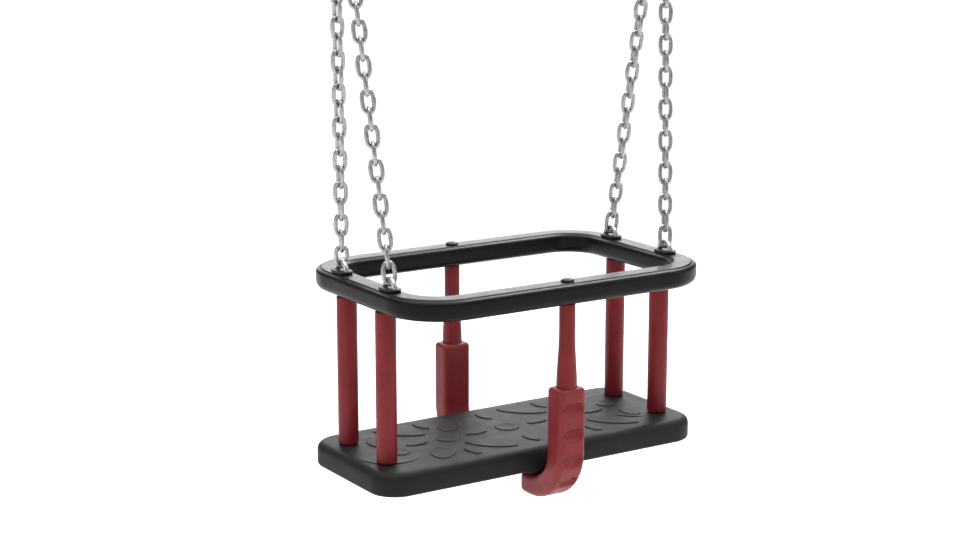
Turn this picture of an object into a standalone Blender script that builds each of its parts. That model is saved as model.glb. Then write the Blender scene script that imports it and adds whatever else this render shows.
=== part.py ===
"""Toddler bucket swing: a rubber cradle seat on four short-link chains, hung from two bush hangers.

The origin is midway between the two hangers' top faces, on the underside of the beam that they are
bolted to. +X runs along the seat's long side, -Y is the front and +Z is up.
"""

import math

import bmesh
import bpy
from mathutils import Matrix, Vector

MM = 0.001
GAP = 0.3 * MM

# Chain: DIN 766 short link, 5 mm wire
CHAIN_WIRE = 5 * MM
CHAIN_PITCH = 18.5 * MM
CHAIN_WIDTH = 17 * MM
CHAIN_LINKS = 23
CHAIN_TOP_Y = 7 * MM
PLAIN_BAR = CHAIN_WIRE * math.sqrt(math.pi) / 4
LINK_OVERLAP = 0.15 * MM
LINK_PLAY = 1.2 * MM
PLAIN_CORNER = 3.4 * MM
HANGER_X = 213 * MM

# Ring, measured from the flat of its top face
RAIL_X = 186 * MM
RAIL_Y = 119.4 * MM
RING_WIDTH = 32 * MM
RING_HEIGHT = 24 * MM
RING_CORNER = 51 * MM
RING_CORE_WIDTH = 18 * MM
RING_CORE_HEIGHT = 6 * MM
RING_CORE_DROP = 9 * MM

# Seat board, measured down from the ring's top face
SEAT_LENGTH = 431 * MM
SEAT_DEPTH = 164 * MM
SEAT_CORNER = 33 * MM
SEAT_DROP = 196 * MM
SEAT_THICK = 27 * MM
SEAT_TOP_ROUND = 9 * MM
SEAT_BOTTOM_ROUND = 4 * MM
SEAT_CORE_LENGTH = 400 * MM
SEAT_CORE_DEPTH = 144 * MM
SEAT_CORE_THICK = 4 * MM
SEAT_CORE_DROP = 10 * MM
SEAT_CORE_CORNER = 20 * MM
BOSS_RADIUS = 19 * MM
BOSS_SPREAD = 26 * MM
BOSS_HEIGHT = 7.5 * MM
COLLAR_RADIUS = 10.5 * MM
COLLAR_HEIGHT = 1 * MM

# Staples: U-bolts whose long leg is the tie rod through ring, corner post and seat
STAPLE_WIRE = 6 * MM
STAPLE_Y = 53 * MM
STAPLE_SPREAD = 20 * MM
STAPLE_RISE = 13 * MM
BASE_LENGTH = 30 * MM
BASE_WIDTH = 19 * MM
BASE_THICK = 3 * MM
M6_HOLE = 3.5 * MM
HOLE_SIDES = 8
M6_NUT_FLATS = 10 * MM
M6_NUT_HEIGHT = 5 * MM
RING_NUT_POCKET = (7.5 * MM, 7 * MM)
SEAT_NUT_POCKET = (10 * MM, 9 * MM)

# Posts
CORNER_POST_RADIUS = 11.5 * MM
POST_BORE = 3.6 * MM
CENTRE_POST_TOP_RADIUS = 9 * MM
CENTRE_POST_FOOT_RADIUS = 11.6 * MM
FLARE_START = 0.3

# Hooks at the middle of the front and back, measured down from the ring's top face
HOOK_TOP = 119.5 * MM
HOOK_WIDTH = 36 * MM
HOOK_DEPTH = 28.5 * MM
HOOK_FOOT_DEPTH = 25 * MM
HOOK_OUTER_BEND = 62 * MM
HOOK_BOTTOM = 256 * MM
HOOK_END_Y = 51 * MM
HOOK_ROUND = 6 * MM
HOOK_SOCKET_DEPTH = 8 * MM
GRIP_SIZE = (29 * MM, 5 * MM, 16 * MM)
GRIP_FIRST = 143 * MM
GRIP_PITCH = 29.6 * MM
GRIPS = 3
INSERT_RADIUS = 6 * MM
INSERT_LENGTH = 20 * MM
DOME_RADIUS = 7.5 * MM
DOME_HEIGHT = 3.6 * MM
HOOK_SCREW_RADIUS = 4 * MM
HOOK_SCREW_HEAD = (8 * MM, 5 * MM)
HOOK_SCREW_Y = 62 * MM
HEAD_SINK = 2 * MM

# Hangers
PLATE_SIZE = (96 * MM, 60 * MM)
PLATE_THICK = 6 * MM
PLATE_CORNER = 8 * MM
PLATE_HOLE = 4.5 * MM
PLATE_HOLES = (36 * MM, 19 * MM)
CHEEK_GAP = 24 * MM
CHEEK_THICK = 5 * MM
CHEEK_WIDTH = 40 * MM
CHEEK_ROUND = 13 * MM
AXLE_DROP = 32 * MM
AXLE_RADIUS = 5 * MM
AXLE_HEX = 17 * MM
AXLE_HEAD = 6.4 * MM
AXLE_NUT = 8.7 * MM
BUSH_RADIUS = 8.7 * MM
BUSH_LENGTH = 23.4 * MM
BARREL_RADIUS = 13 * MM
BARREL_LENGTH = 21 * MM
EYE_DROP = 25 * MM
EYE_RADIUS = 12 * MM
EYE_WIRE = 8 * MM

# Shackles
SHACKLE_WIRE = 7 * MM
SHACKLE_HALF = 15 * MM
SHACKLE_PIN_RADIUS = 3 * MM
SHACKLE_PIN_DROP = 88 * MM
EAR_RADIUS = 7 * MM
EAR_THICK = 7.4 * MM
PIN_HEAD = (5.5 * MM, 4 * MM)
BOLT_TAIL = 1.5 * MM

# Heights worked out from the driving dimensions
AXLE_Z = -AXLE_DROP
EYE_Z = AXLE_Z - EYE_DROP
PIN_Z = -SHACKLE_PIN_DROP
CHAIN_SPAN = CHAIN_LINKS * CHAIN_PITCH - (CHAIN_WIDTH - 2 * CHAIN_WIRE)
CHAIN_FALL = math.sqrt(CHAIN_SPAN**2 - (HANGER_X - RAIL_X) ** 2 - (STAPLE_Y - CHAIN_TOP_Y) ** 2)
STAPLE_Z = PIN_Z - CHAIN_FALL
RING_TOP = STAPLE_Z - STAPLE_RISE
RING_BOTTOM = RING_TOP - RING_HEIGHT
SEAT_TOP = RING_TOP - SEAT_DROP
SEAT_BOTTOM = SEAT_TOP - SEAT_THICK
HOOK_TOP_Z = RING_TOP - HOOK_TOP
SOCKET_FLOOR = HOOK_TOP_Z - HOOK_SOCKET_DEPTH
HOOK_LOW = RING_TOP - HOOK_BOTTOM
BEND_Y = -RAIL_Y - HOOK_DEPTH / 2 + HOOK_OUTER_BEND
BEND_Z = HOOK_LOW + HOOK_OUTER_BEND
LONG_LEG_Y = STAPLE_Y - STAPLE_SPREAD / 2
SHORT_LEG_Y = STAPLE_Y + STAPLE_SPREAD / 2

SIDES = {"left": -1, "right": 1}
ENDS = {"front": -1, "back": 1}
SIGNS = (-1, 1)
SIDE_VIEW = Matrix(((0, 0, 1, 0), (1, 0, 0, 0), (0, 1, 0, 0), (0, 0, 0, 1)))


# ---------------------------------------------------------------- scene and materials


for leftover in list(bpy.data.objects):
    bpy.data.objects.remove(leftover, do_unlink=True)
PARTS = bpy.data.collections.new("toddler_bucket_swing")
CUTTERS = bpy.data.collections.new("cutters")
bpy.context.scene.collection.children.link(PARTS)
bpy.context.scene.collection.children.link(CUTTERS)


def material(name, colour, roughness, metallic=0.0):
    """Principled material of one colour."""
    made = bpy.data.materials.new(name)
    made.use_nodes = True
    shader = made.node_tree.nodes["Principled BSDF"]
    shader.inputs["Base Color"].default_value = (*colour, 1.0)
    shader.inputs["Roughness"].default_value = roughness
    shader.inputs["Metallic"].default_value = metallic
    return made


def finish_part(obj, name, look, smooth=True):
    """Name a part, give it its material and shade its round faces smooth."""
    obj.name = name
    obj.data.name = name
    obj.data.materials.clear()
    obj.data.materials.append(look)
    if smooth:
        obj.data.shade_smooth()
        obj.data.set_sharp_from_angle(angle=math.radians(35))
    return obj


# ---------------------------------------------------------------- modelling helpers


def place(mesh, location=(0, 0, 0), rotation=(0, 0, 0)):
    """Put a mesh or a curve in the scene as an object of its own."""
    obj = bpy.data.objects.new(mesh.name, mesh)
    obj.location = location
    obj.rotation_euler = rotation
    PARTS.objects.link(obj)
    return obj


def turn_to(axis):
    """Euler rotation that carries local +Z to the named axis."""
    return {"X": (0, math.pi / 2, 0), "Y": (-math.pi / 2, 0, 0), "Z": (0, 0, 0)}[axis]


def cylinder(radius, length, centre, axis="Z", sides=16):
    """Closed cylinder or prism with its middle at centre."""
    bm = bmesh.new()
    radii = {"radius1": radius, "radius2": radius}
    bmesh.ops.create_cone(bm, cap_ends=True, segments=sides, depth=length, **radii)
    mesh = bpy.data.meshes.new("cylinder")
    bm.to_mesh(mesh)
    bm.free()
    return place(mesh, centre, turn_to(axis))


def turned(profile, location, axis="Z", steps=20, closed=False):
    """Turn a profile of (radius, height) pairs, listed down the outer side, about an axis."""
    mesh = bpy.data.meshes.new("turned")
    points = [(radius, 0, height) for radius, height in profile]
    edges = [(i, i + 1) for i in range(len(points) - 1)]
    if closed:
        edges.append((len(points) - 1, 0))
    mesh.from_pydata(points, edges, [])
    obj = place(mesh, location, turn_to(axis))
    screw = obj.modifiers.new("turn", "SCREW")
    screw.steps = steps
    screw.render_steps = steps
    screw.use_merge_vertices = True
    screw.merge_threshold = 0.00001
    return freeze(obj)


def circle(radius, centre=(0, 0), steps=16):
    """Points of a circle."""
    turns = [2 * math.pi * i / steps for i in range(steps)]
    return [(centre[0] + radius * math.cos(a), centre[1] + radius * math.sin(a)) for a in turns]


def arc(centre, radius, start, end, steps):
    """Points of an arc between two angles in degrees."""
    angles = [math.radians(start + (end - start) * i / steps) for i in range(steps + 1)]
    return [(centre[0] + radius * math.cos(a), centre[1] + radius * math.sin(a)) for a in angles]


def rounded_rectangle(half_x, half_y, radius, steps=8):
    """Points of a rectangle with round corners, anticlockwise."""
    points = []
    for start, sign_x, sign_y in ((0, 1, 1), (90, -1, 1), (180, -1, -1), (270, 1, -1)):
        corner = (sign_x * (half_x - radius), sign_y * (half_y - radius))
        points += arc(corner, radius, start, start + 90, steps)
    return points


def poly_curve(name, loops, cyclic=True, dimensions="2D"):
    """Curve of straight segments through each loop of points."""
    curve = bpy.data.curves.new(name, "CURVE")
    curve.dimensions = dimensions
    for points in loops:
        spline = curve.splines.new("POLY")
        spline.points.add(len(points) - 1)
        for target, point in zip(spline.points, points):
            target.co = (*point, 0, 1) if len(point) == 2 else (*point, 1)
        spline.use_cyclic_u = cyclic
    return curve


def curve_to_mesh(curve, location=(0, 0, 0), rotation=(0, 0, 0)):
    """Turn a curve into a welded mesh object and remove the curve."""
    obj = place(curve, location, rotation)
    return freeze(obj)


def freeze(obj):
    """Replace an object by a mesh object of its evaluated shape, welded and facing out."""
    bpy.context.view_layer.update()
    graph = bpy.context.evaluated_depsgraph_get()
    mesh = bpy.data.meshes.new_from_object(obj.evaluated_get(graph))
    bm = bmesh.new()
    bm.from_mesh(mesh)
    bmesh.ops.remove_doubles(bm, verts=bm.verts, dist=0.00001)
    bmesh.ops.recalc_face_normals(bm, faces=bm.faces)
    bm.to_mesh(mesh)
    bm.free()
    frozen = bpy.data.objects.new(obj.name, mesh)
    frozen.matrix_world = obj.matrix_world
    obj.users_collection[0].objects.link(frozen)
    bpy.data.objects.remove(obj, do_unlink=True)
    return frozen


def slab(outline, thickness, centre, axis="Z", holes=()):
    """Flat outline with holes, extruded evenly about its centre."""
    curve = poly_curve("slab", [outline, *holes])
    curve.fill_mode = "BOTH"
    curve.extrude = thickness / 2
    return curve_to_mesh(curve, centre, turn_to(axis))


def rod(points, radius, resolution=2, cyclic=False, tilt=0.0):
    """Round bar bent along points."""
    curve = poly_curve("rod", [points], cyclic, "3D")
    curve.bevel_depth = radius
    curve.bevel_resolution = resolution
    curve.use_fill_caps = not cyclic
    for point in curve.splines[0].points:
        point.tilt = tilt
    return curve_to_mesh(curve)


def join(objects):
    """Join objects into one, in world space."""
    bpy.context.view_layer.update()
    bm = bmesh.new()
    for obj in objects:
        mesh = obj.data.copy()
        mesh.transform(obj.matrix_world)
        bm.from_mesh(mesh)
        bpy.data.meshes.remove(mesh)
        bpy.data.objects.remove(obj, do_unlink=True)
    joined = bpy.data.meshes.new("joined")
    bm.to_mesh(joined)
    bm.free()
    return place(joined)


def combine(obj, tools, operation):
    """Cut or join an object with a list of tools, which become one hidden cutter."""
    tool = join(tools)
    PARTS.objects.unlink(tool)
    CUTTERS.objects.link(tool)
    tool.name = "cutter"
    tool.hide_render = True
    tool.display_type = "WIRE"
    step = obj.modifiers.new(operation.lower(), "BOOLEAN")
    step.operation = operation
    step.object = tool
    return obj


def cut(obj, tools):
    """Take the tools away from an object."""
    return combine(obj, tools, "DIFFERENCE")


def weld(obj, tools):
    """Join the tools onto an object."""
    return combine(obj, tools, "UNION")


def axis_empty(name, location, parent=None):
    """Empty that marks a joint's axis."""
    empty = bpy.data.objects.new(name, None)
    empty.empty_display_size = 20 * MM
    PARTS.objects.link(empty)
    empty.location = location
    bpy.context.view_layer.update()
    if parent:
        ride_on(parent, [empty])
    return empty


def ride_on(parent, children):
    """Parent objects without moving them."""
    bpy.context.view_layer.update()
    for child in children:
        child.parent = parent
        child.matrix_parent_inverse = parent.matrix_world.inverted()


# ---------------------------------------------------------------- ring, seat and posts


def swept_ring(profile):
    """Sweep a closed profile of (across, up) points round the rail's centreline."""
    section = poly_curve("section", [profile])
    section_object = place(section)
    path = poly_curve("rail", [rounded_rectangle(RAIL_X, RAIL_Y, RING_CORNER, 6)])
    path.bevel_mode = "OBJECT"
    path.bevel_object = section_object
    swept = curve_to_mesh(path, (0, 0, RING_TOP))
    bpy.data.objects.remove(section_object, do_unlink=True)
    return swept


def ring_profile():
    """Outline of the ring's section: a raised flat on top, round shoulders and round lower edges."""
    half = RING_WIDTH / 2
    low = -RING_HEIGHT
    right_side = [
        (9.75 * MM, 0),
        (11 * MM, -2 * MM),
        (13.4 * MM, -3 * MM),
        (15.2 * MM, -5.1 * MM),
        (half, -8.5 * MM),
        (half, low + 9 * MM),
        (14.2 * MM, low + 3.4 * MM),
        (8.5 * MM, low),
    ]
    return right_side + [(-across, up) for across, up in reversed(right_side)]


def core_profile(clearance):
    """Outline of the flat steel core, or of its pocket when clearance is added."""
    half = RING_CORE_WIDTH / 2 + clearance
    top = -RING_CORE_DROP + clearance
    low = -RING_CORE_DROP - RING_CORE_HEIGHT - clearance
    return [(half, top), (half, low), (-half, low), (-half, top)]


def ring_holes():
    """Cutters for the staples' legs and the centre bolts."""
    middle = RING_TOP - RING_HEIGHT / 2
    length = 2 * RING_HEIGHT
    spots = [(0, -RAIL_Y), (0, RAIL_Y)]
    for leg_y in (LONG_LEG_Y, SHORT_LEG_Y):
        spots += [(sx * RAIL_X, sy * leg_y) for sx in SIGNS for sy in SIGNS]
    return [cylinder(M6_HOLE, length, (x, y, middle), sides=HOLE_SIDES) for x, y in spots]


def build_ring(rubber, steel):
    """Rubber ring and the flat steel core inside it."""
    cover = swept_ring(ring_profile())
    cut(cover, [swept_ring(core_profile(GAP))])
    cut(cover, ring_holes())
    radius, depth = RING_NUT_POCKET
    spots = [(sx * RAIL_X, sy * SHORT_LEG_Y, RING_BOTTOM) for sx in SIGNS for sy in SIGNS]
    cut(cover, [cylinder(radius, 2 * depth, spot, sides=12) for spot in spots])
    finish_part(cover, "ring_cover", rubber)
    core = swept_ring(core_profile(0))
    cut(core, ring_holes())
    finish_part(core, "ring_core", steel)
    return [cover, core]


def tie_rod_spots():
    """Plan positions of the staples' long legs."""
    return [(sx * RAIL_X, sy * LONG_LEG_Y) for sx in SIGNS for sy in SIGNS]


def boss_profile(clearance):
    """Flared boss under the seat, from its root inside the board down to the hook's foot."""
    root = 1 * MM
    return [
        (0, root),
        (BOSS_SPREAD + 2 * clearance, root),
        (BOSS_SPREAD + 2 * clearance, 0),
        (BOSS_RADIUS + 2 * clearance, -BOSS_HEIGHT - clearance),
        (0, -BOSS_HEIGHT - clearance),
    ]


def build_seat(rubber, steel):
    """Rubber seat board with the steel plate moulded inside it."""
    outline = rounded_rectangle(SEAT_LENGTH / 2, SEAT_DEPTH / 2, SEAT_CORNER, 6)
    middle = (SEAT_TOP + SEAT_BOTTOM) / 2
    cover = slab(outline, SEAT_THICK, (0, 0, middle))
    round_rim(cover, SEAT_THICK / 2, SEAT_TOP_ROUND, 3)
    round_rim(cover, -SEAT_THICK / 2, SEAT_BOTTOM_ROUND, 2)
    spots = [(0, sy * HOOK_SCREW_Y, SEAT_BOTTOM) for sy in SIGNS]
    weld(cover, [turned(boss_profile(0), spot, steps=16) for spot in spots])
    collars = [cylinder(COLLAR_RADIUS, 2 * COLLAR_HEIGHT, (x, y, SEAT_TOP)) for x, y in tie_rod_spots()]
    weld(cover, collars)
    core_z = SEAT_TOP - SEAT_CORE_DROP - SEAT_CORE_THICK / 2
    half_x = SEAT_CORE_LENGTH / 2
    half_y = SEAT_CORE_DEPTH / 2
    pocket = rounded_rectangle(half_x + GAP, half_y + GAP, SEAT_CORE_CORNER, 3)
    cut(cover, [slab(pocket, SEAT_CORE_THICK + 2 * GAP, (0, 0, core_z))])
    spots = [(x, y, middle) for x, y in tie_rod_spots()]
    bores = [cylinder(M6_HOLE, 2 * SEAT_THICK, spot, sides=HOLE_SIDES) for spot in spots]
    bore_low = SEAT_BOTTOM - 2 * BOSS_HEIGHT
    for sy in SIGNS:
        spot = (0, sy * HOOK_SCREW_Y, (bore_low + core_z) / 2)
        bores.append(cylinder(HOOK_SCREW_RADIUS + GAP, core_z - bore_low, spot, sides=12))
    cut(cover, bores)
    radius, depth = SEAT_NUT_POCKET
    cut(cover, [cylinder(radius, 2 * depth, (x, y, SEAT_BOTTOM), sides=12) for x, y in tie_rod_spots()])
    finish_part(cover, "seat_cover", rubber)

    holes = [circle(M6_HOLE, spot, HOLE_SIDES) for spot in tie_rod_spots()]
    holes += [circle(HOOK_SCREW_RADIUS + GAP, (0, sy * HOOK_SCREW_Y), 12) for sy in SIGNS]
    plate = rounded_rectangle(half_x, half_y, SEAT_CORE_CORNER, 3)
    core = slab(plate, SEAT_CORE_THICK, (0, 0, core_z), holes=holes)
    finish_part(core, "seat_core", steel, smooth=False)
    return [cover, core]


def round_rim(obj, height, width, segments):
    """Round the edges of a slab's flat face at one local height."""
    bm = bmesh.new()
    bm.from_mesh(obj.data)
    bmesh.ops.dissolve_limit(bm, angle_limit=0.001, verts=bm.verts, edges=bm.edges)
    rim = [e for e in bm.edges if all(abs(v.co.z - height) < 0.00001 for v in e.verts)]
    bmesh.ops.bevel(bm, geom=rim, offset=width, segments=segments, profile=0.5, affect="EDGES")
    bm.to_mesh(obj.data)
    bm.free()


def build_corner_posts(plastic):
    """Four round tubes between ring and seat, over the staples' long legs."""
    made = []
    top = RING_BOTTOM - GAP
    foot = SEAT_TOP + COLLAR_HEIGHT + GAP
    profile = [
        (POST_BORE, top),
        (CORNER_POST_RADIUS, top),
        (CORNER_POST_RADIUS, foot),
        (POST_BORE, foot),
    ]
    for side, sx in SIDES.items():
        for end, sy in ENDS.items():
            post = turned(profile, (sx * RAIL_X, sy * LONG_LEG_Y, 0), steps=20, closed=True)
            made.append(finish_part(post, f"corner_post_{side}_{end}", plastic))
    return made


def build_centre_posts(plastic):
    """Two tubes that widen towards the hooks' sockets."""
    made = []
    top = RING_BOTTOM - GAP
    foot = SOCKET_FLOOR + GAP
    flare_top = top + (HOOK_TOP_Z - top) * FLARE_START
    profile = [
        (POST_BORE, top),
        (CENTRE_POST_TOP_RADIUS, top),
        (CENTRE_POST_TOP_RADIUS, flare_top),
        (CENTRE_POST_FOOT_RADIUS, HOOK_TOP_Z),
        (CENTRE_POST_FOOT_RADIUS, foot),
        (POST_BORE, foot),
    ]
    for end, sy in ENDS.items():
        post = turned(profile, (0, sy * RAIL_Y, 0), steps=20, closed=True)
        made.append(finish_part(post, f"centre_post_{end}", plastic))
    return made


# ---------------------------------------------------------------- staples and their fasteners


def staple_points():
    """Centreline of a U-bolt in its own YZ plane, long leg on the low-Y side."""
    half = STAPLE_SPREAD / 2
    spring = STAPLE_Z - half
    long_end = SEAT_BOTTOM + 1 * MM
    short_end = RING_BOTTOM + 1 * MM
    arch = [(y, spring + z) for y, z in arc((0, 0), half, 180, 0, 10)]
    flat = [(-half, long_end), *arch, (half, short_end)]
    return [(0, y, z) for y, z in flat]


def build_staples(steel, black, zinc):
    """U-bolts, their oval base plates and their four pairs of nuts."""
    made = []
    for side, sx in SIDES.items():
        for end, sy in ENDS.items():
            tag = f"{side}_{end}"
            x = sx * RAIL_X
            staple = rod([(x, sy * (STAPLE_Y + y), z) for _, y, z in staple_points()], STAPLE_WIRE / 2)
            made.append(finish_part(staple, f"u_bolt_{tag}", steel))
            made.append(build_base_plate(tag, x, sy, black))
            seat_nut_z = SEAT_BOTTOM + SEAT_NUT_POCKET[1] - GAP - M6_NUT_HEIGHT / 2
            ring_nut_z = RING_BOTTOM + RING_NUT_POCKET[1] - GAP - M6_NUT_HEIGHT / 2
            made.append(m6_nut(f"seat_nut_{tag}", (x, sy * LONG_LEG_Y, seat_nut_z), zinc))
            made.append(m6_nut(f"ring_nut_{tag}", (x, sy * SHORT_LEG_Y, ring_nut_z), zinc))
    return made


def build_base_plate(tag, x, sy, black):
    """Oval plate with two holes under a staple's arch."""
    outline = rounded_rectangle(BASE_WIDTH / 2, BASE_LENGTH / 2, BASE_WIDTH / 2 - 0.01 * MM, 4)
    holes = [circle(M6_HOLE, (0, y), HOLE_SIDES) for y in (-STAPLE_SPREAD / 2, STAPLE_SPREAD / 2)]
    centre = (x, sy * STAPLE_Y, RING_TOP + GAP + BASE_THICK / 2)
    plate = slab(outline, BASE_THICK, centre, holes=holes)
    return finish_part(plate, f"base_plate_{tag}", black)


def hexagon(flats):
    """Points of a hexagon, from its size across the flats."""
    return circle(flats / 2 / math.cos(math.pi / 6), steps=6)


def m6_nut(name, centre, zinc, axis="Z"):
    """Hexagon nut on an M6 thread."""
    bore = circle(M6_HOLE, steps=HOLE_SIDES)
    nut = slab(hexagon(M6_NUT_FLATS), M6_NUT_HEIGHT, centre, axis, holes=[bore])
    return finish_part(nut, name, zinc, smooth=False)


# ---------------------------------------------------------------- hooks


def hook_outline():
    """Side view of the front hook in the YZ plane; it gets thinner round the bend."""
    half = HOOK_DEPTH / 2
    inner_bend = []
    steps = 4
    for i in range(steps + 1):
        share = i / steps
        depth = HOOK_FOOT_DEPTH + (HOOK_DEPTH - HOOK_FOOT_DEPTH) * share
        angle = math.radians(270 - 90 * share)
        radius = HOOK_OUTER_BEND - depth
        inner_bend.append((BEND_Y + radius * math.cos(angle), BEND_Z + radius * math.sin(angle)))
    return [
        (-RAIL_Y + half, HOOK_TOP_Z),
        (-RAIL_Y - half, HOOK_TOP_Z),
        *arc((BEND_Y, BEND_Z), HOOK_OUTER_BEND, 180, 270, 6),
        (-HOOK_END_Y, HOOK_LOW),
        (-HOOK_END_Y, HOOK_LOW + HOOK_FOOT_DEPTH),
        *inner_bend,
    ]


def grip_cutters():
    """Oval dishes down the front hook's outer face, the last one on the bend."""
    cutters = []
    for i in range(GRIPS + 1):
        height = RING_TOP - GRIP_FIRST - i * GRIP_PITCH
        turn = max(0, (BEND_Z - height) / HOOK_OUTER_BEND)
        rise = max(height, BEND_Z) - HOOK_OUTER_BEND * math.sin(turn)
        spot = Vector((0, BEND_Y - HOOK_OUTER_BEND * math.cos(turn), rise))
        bm = bmesh.new()
        bmesh.ops.create_uvsphere(bm, u_segments=12, v_segments=6, radius=1)
        bmesh.ops.scale(bm, vec=Vector(GRIP_SIZE) * 0.5, verts=bm.verts)
        mesh = bpy.data.meshes.new("grip")
        bm.to_mesh(mesh)
        bm.free()
        cutters.append(place(mesh, spot, (turn, 0, 0)))
    return cutters


def build_hooks(plastic, brass, black):
    """Hooks, the threaded inserts moulded in them, their screws and the domed centre bolts."""
    made = []
    for end, sy in ENDS.items():
        hook = slab(hook_outline(), HOOK_WIDTH, (0, 0, 0))
        hook.data.transform(SIDE_VIEW)
        soften(hook, HOOK_ROUND, 2)
        cut(hook, [turned(boss_profile(GAP), (0, -HOOK_SCREW_Y, SEAT_BOTTOM), steps=16)])
        socket_top = (0, -RAIL_Y, HOOK_TOP_Z)
        socket = cylinder(CENTRE_POST_FOOT_RADIUS + GAP, 2 * HOOK_SOCKET_DEPTH, socket_top, sides=20)
        cut(hook, [socket])
        insert_depth = INSERT_LENGTH + 2 * GAP
        insert_bore = cylinder(INSERT_RADIUS + GAP, 2 * insert_depth, (0, -RAIL_Y, SOCKET_FLOOR))
        screw_middle = (0, -HOOK_SCREW_Y, HOOK_LOW + HOOK_DEPTH)
        cut(hook, [insert_bore, cylinder(HOOK_SCREW_RADIUS + GAP, 2 * HOOK_DEPTH, screw_middle)])
        head_radius, head_height = HOOK_SCREW_HEAD
        pocket = 2 * (head_height + HEAD_SINK)
        cut(hook, [cylinder(head_radius + GAP, pocket, (0, -HOOK_SCREW_Y, HOOK_LOW))])
        cut(hook, grip_cutters())
        hook = freeze(hook)
        if sy > 0:
            hook.data.transform(Matrix.Rotation(math.pi, 4, "Z"))
        made.append(finish_part(hook, f"hook_{end}", plastic))
        made += hook_fasteners(end, sy, brass, black)
    return made


def soften(obj, width, segments):
    """Round an object's sharp edges."""
    bevel = obj.modifiers.new("round", "BEVEL")
    bevel.width = width
    bevel.segments = segments
    bevel.limit_method = "ANGLE"
    bevel.angle_limit = math.radians(50)


def hook_fasteners(end, sy, brass, black):
    """Insert, domed bolt and underside screw of one hook."""
    y = sy * RAIL_Y
    insert_top = SOCKET_FLOOR - GAP
    insert_low = insert_top - INSERT_LENGTH
    sleeve = [
        (M6_HOLE, insert_top),
        (INSERT_RADIUS, insert_top),
        (INSERT_RADIUS, insert_low),
        (M6_HOLE, insert_low),
    ]
    insert = turned(sleeve, (0, y, 0), steps=16, closed=True)
    dome_low = RING_TOP + GAP
    bolt_end = insert_low + 2 * MM
    dome = [(DOME_RADIUS * math.sin(a), dome_low + DOME_HEIGHT * math.cos(a)) for a in quarter(5)]
    shank = STAPLE_WIRE / 2
    bolt = turned([*dome, (shank, dome_low), (shank, bolt_end), (0, bolt_end)], (0, y, 0), steps=16)
    head_radius, head_height = HOOK_SCREW_HEAD
    head_top = HOOK_LOW + head_height + HEAD_SINK - GAP
    screw_top = SEAT_TOP - SEAT_CORE_DROP - GAP
    screw = turned(
        [
            (0, screw_top),
            (HOOK_SCREW_RADIUS, screw_top),
            (HOOK_SCREW_RADIUS, head_top),
            (head_radius, head_top),
            (head_radius, head_top - head_height),
            (0, head_top - head_height),
        ],
        (0, sy * HOOK_SCREW_Y, 0),
        steps=16,
    )
    return [
        finish_part(insert, f"hook_insert_{end}", brass),
        finish_part(bolt, f"centre_bolt_{end}", black),
        finish_part(screw, f"hook_screw_{end}", black),
    ]


def quarter(steps):
    """Angles from 0 to a right angle."""
    return [math.pi / 2 * i / steps for i in range(steps + 1)]


# ---------------------------------------------------------------- chains


def round_link(centre_z, sideways):
    """Centreline of one true link: two half circles joined by straights."""
    radius = (CHAIN_WIDTH - CHAIN_WIRE) / 2
    straight = (CHAIN_PITCH - (CHAIN_WIDTH - 2 * CHAIN_WIRE)) / 2
    loop = arc((0, straight), radius, 0, 180, 7) + arc((0, -straight), radius, 180, 360, 7)
    return [(0, x, centre_z + z) if sideways else (x, 0, centre_z + z) for x, z in loop]


def plain_link(centre_z, sideways):
    """Centreline of a link with eight corners, for the links that meet no pin."""
    half_width = (CHAIN_WIDTH - CHAIN_WIRE) / 2
    half_length = CHAIN_PITCH / 2 + PLAIN_BAR * math.cos(math.pi / 8) - LINK_OVERLAP
    corner = PLAIN_CORNER
    quadrant = [(half_width, half_length - corner), (half_width - corner, half_length)]
    top = quadrant + [(-x, z) for x, z in reversed(quadrant)]
    loop = top + [(-x, -z) for x, z in top]
    return [(0, x, centre_z + z) if sideways else (x, 0, centre_z + z) for x, z in loop]


def link_height(index):
    """Height of a link's middle under the pivot that the chain hangs from."""
    inner_radius = CHAIN_WIDTH / 2 - CHAIN_WIRE
    return inner_radius - CHAIN_PITCH * (index + 0.5)


def chain_run_mesh():
    """All the links of a chain but the last, welded where they touch, hanging along local -Z."""
    upright = [rod(round_link(link_height(0), False), CHAIN_WIRE / 2 + LINK_OVERLAP, 1, True)]
    sideways = []
    for index in range(1, CHAIN_LINKS - 1):
        crosswise = index % 2 == 1
        height = link_height(index) - (LINK_PLAY if index == CHAIN_LINKS - 2 else 0)
        corner_radius = PLAIN_BAR * math.sqrt(2)
        link = rod(plain_link(height, crosswise), corner_radius, 0, True, math.radians(45))
        (sideways if crosswise else upright).append(link)
    run = join(upright)
    weld(run, sideways)
    run = freeze(run)
    mesh = run.data
    bpy.data.objects.remove(run, do_unlink=True)
    return mesh


def end_link_mesh():
    """The last link of a chain, hanging along local -Z."""
    link = rod(round_link(link_height(CHAIN_LINKS - 1), False), CHAIN_WIRE / 2 - LINK_OVERLAP, 1, True)
    mesh = link.data
    bpy.data.objects.remove(link, do_unlink=True)
    return mesh


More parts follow.
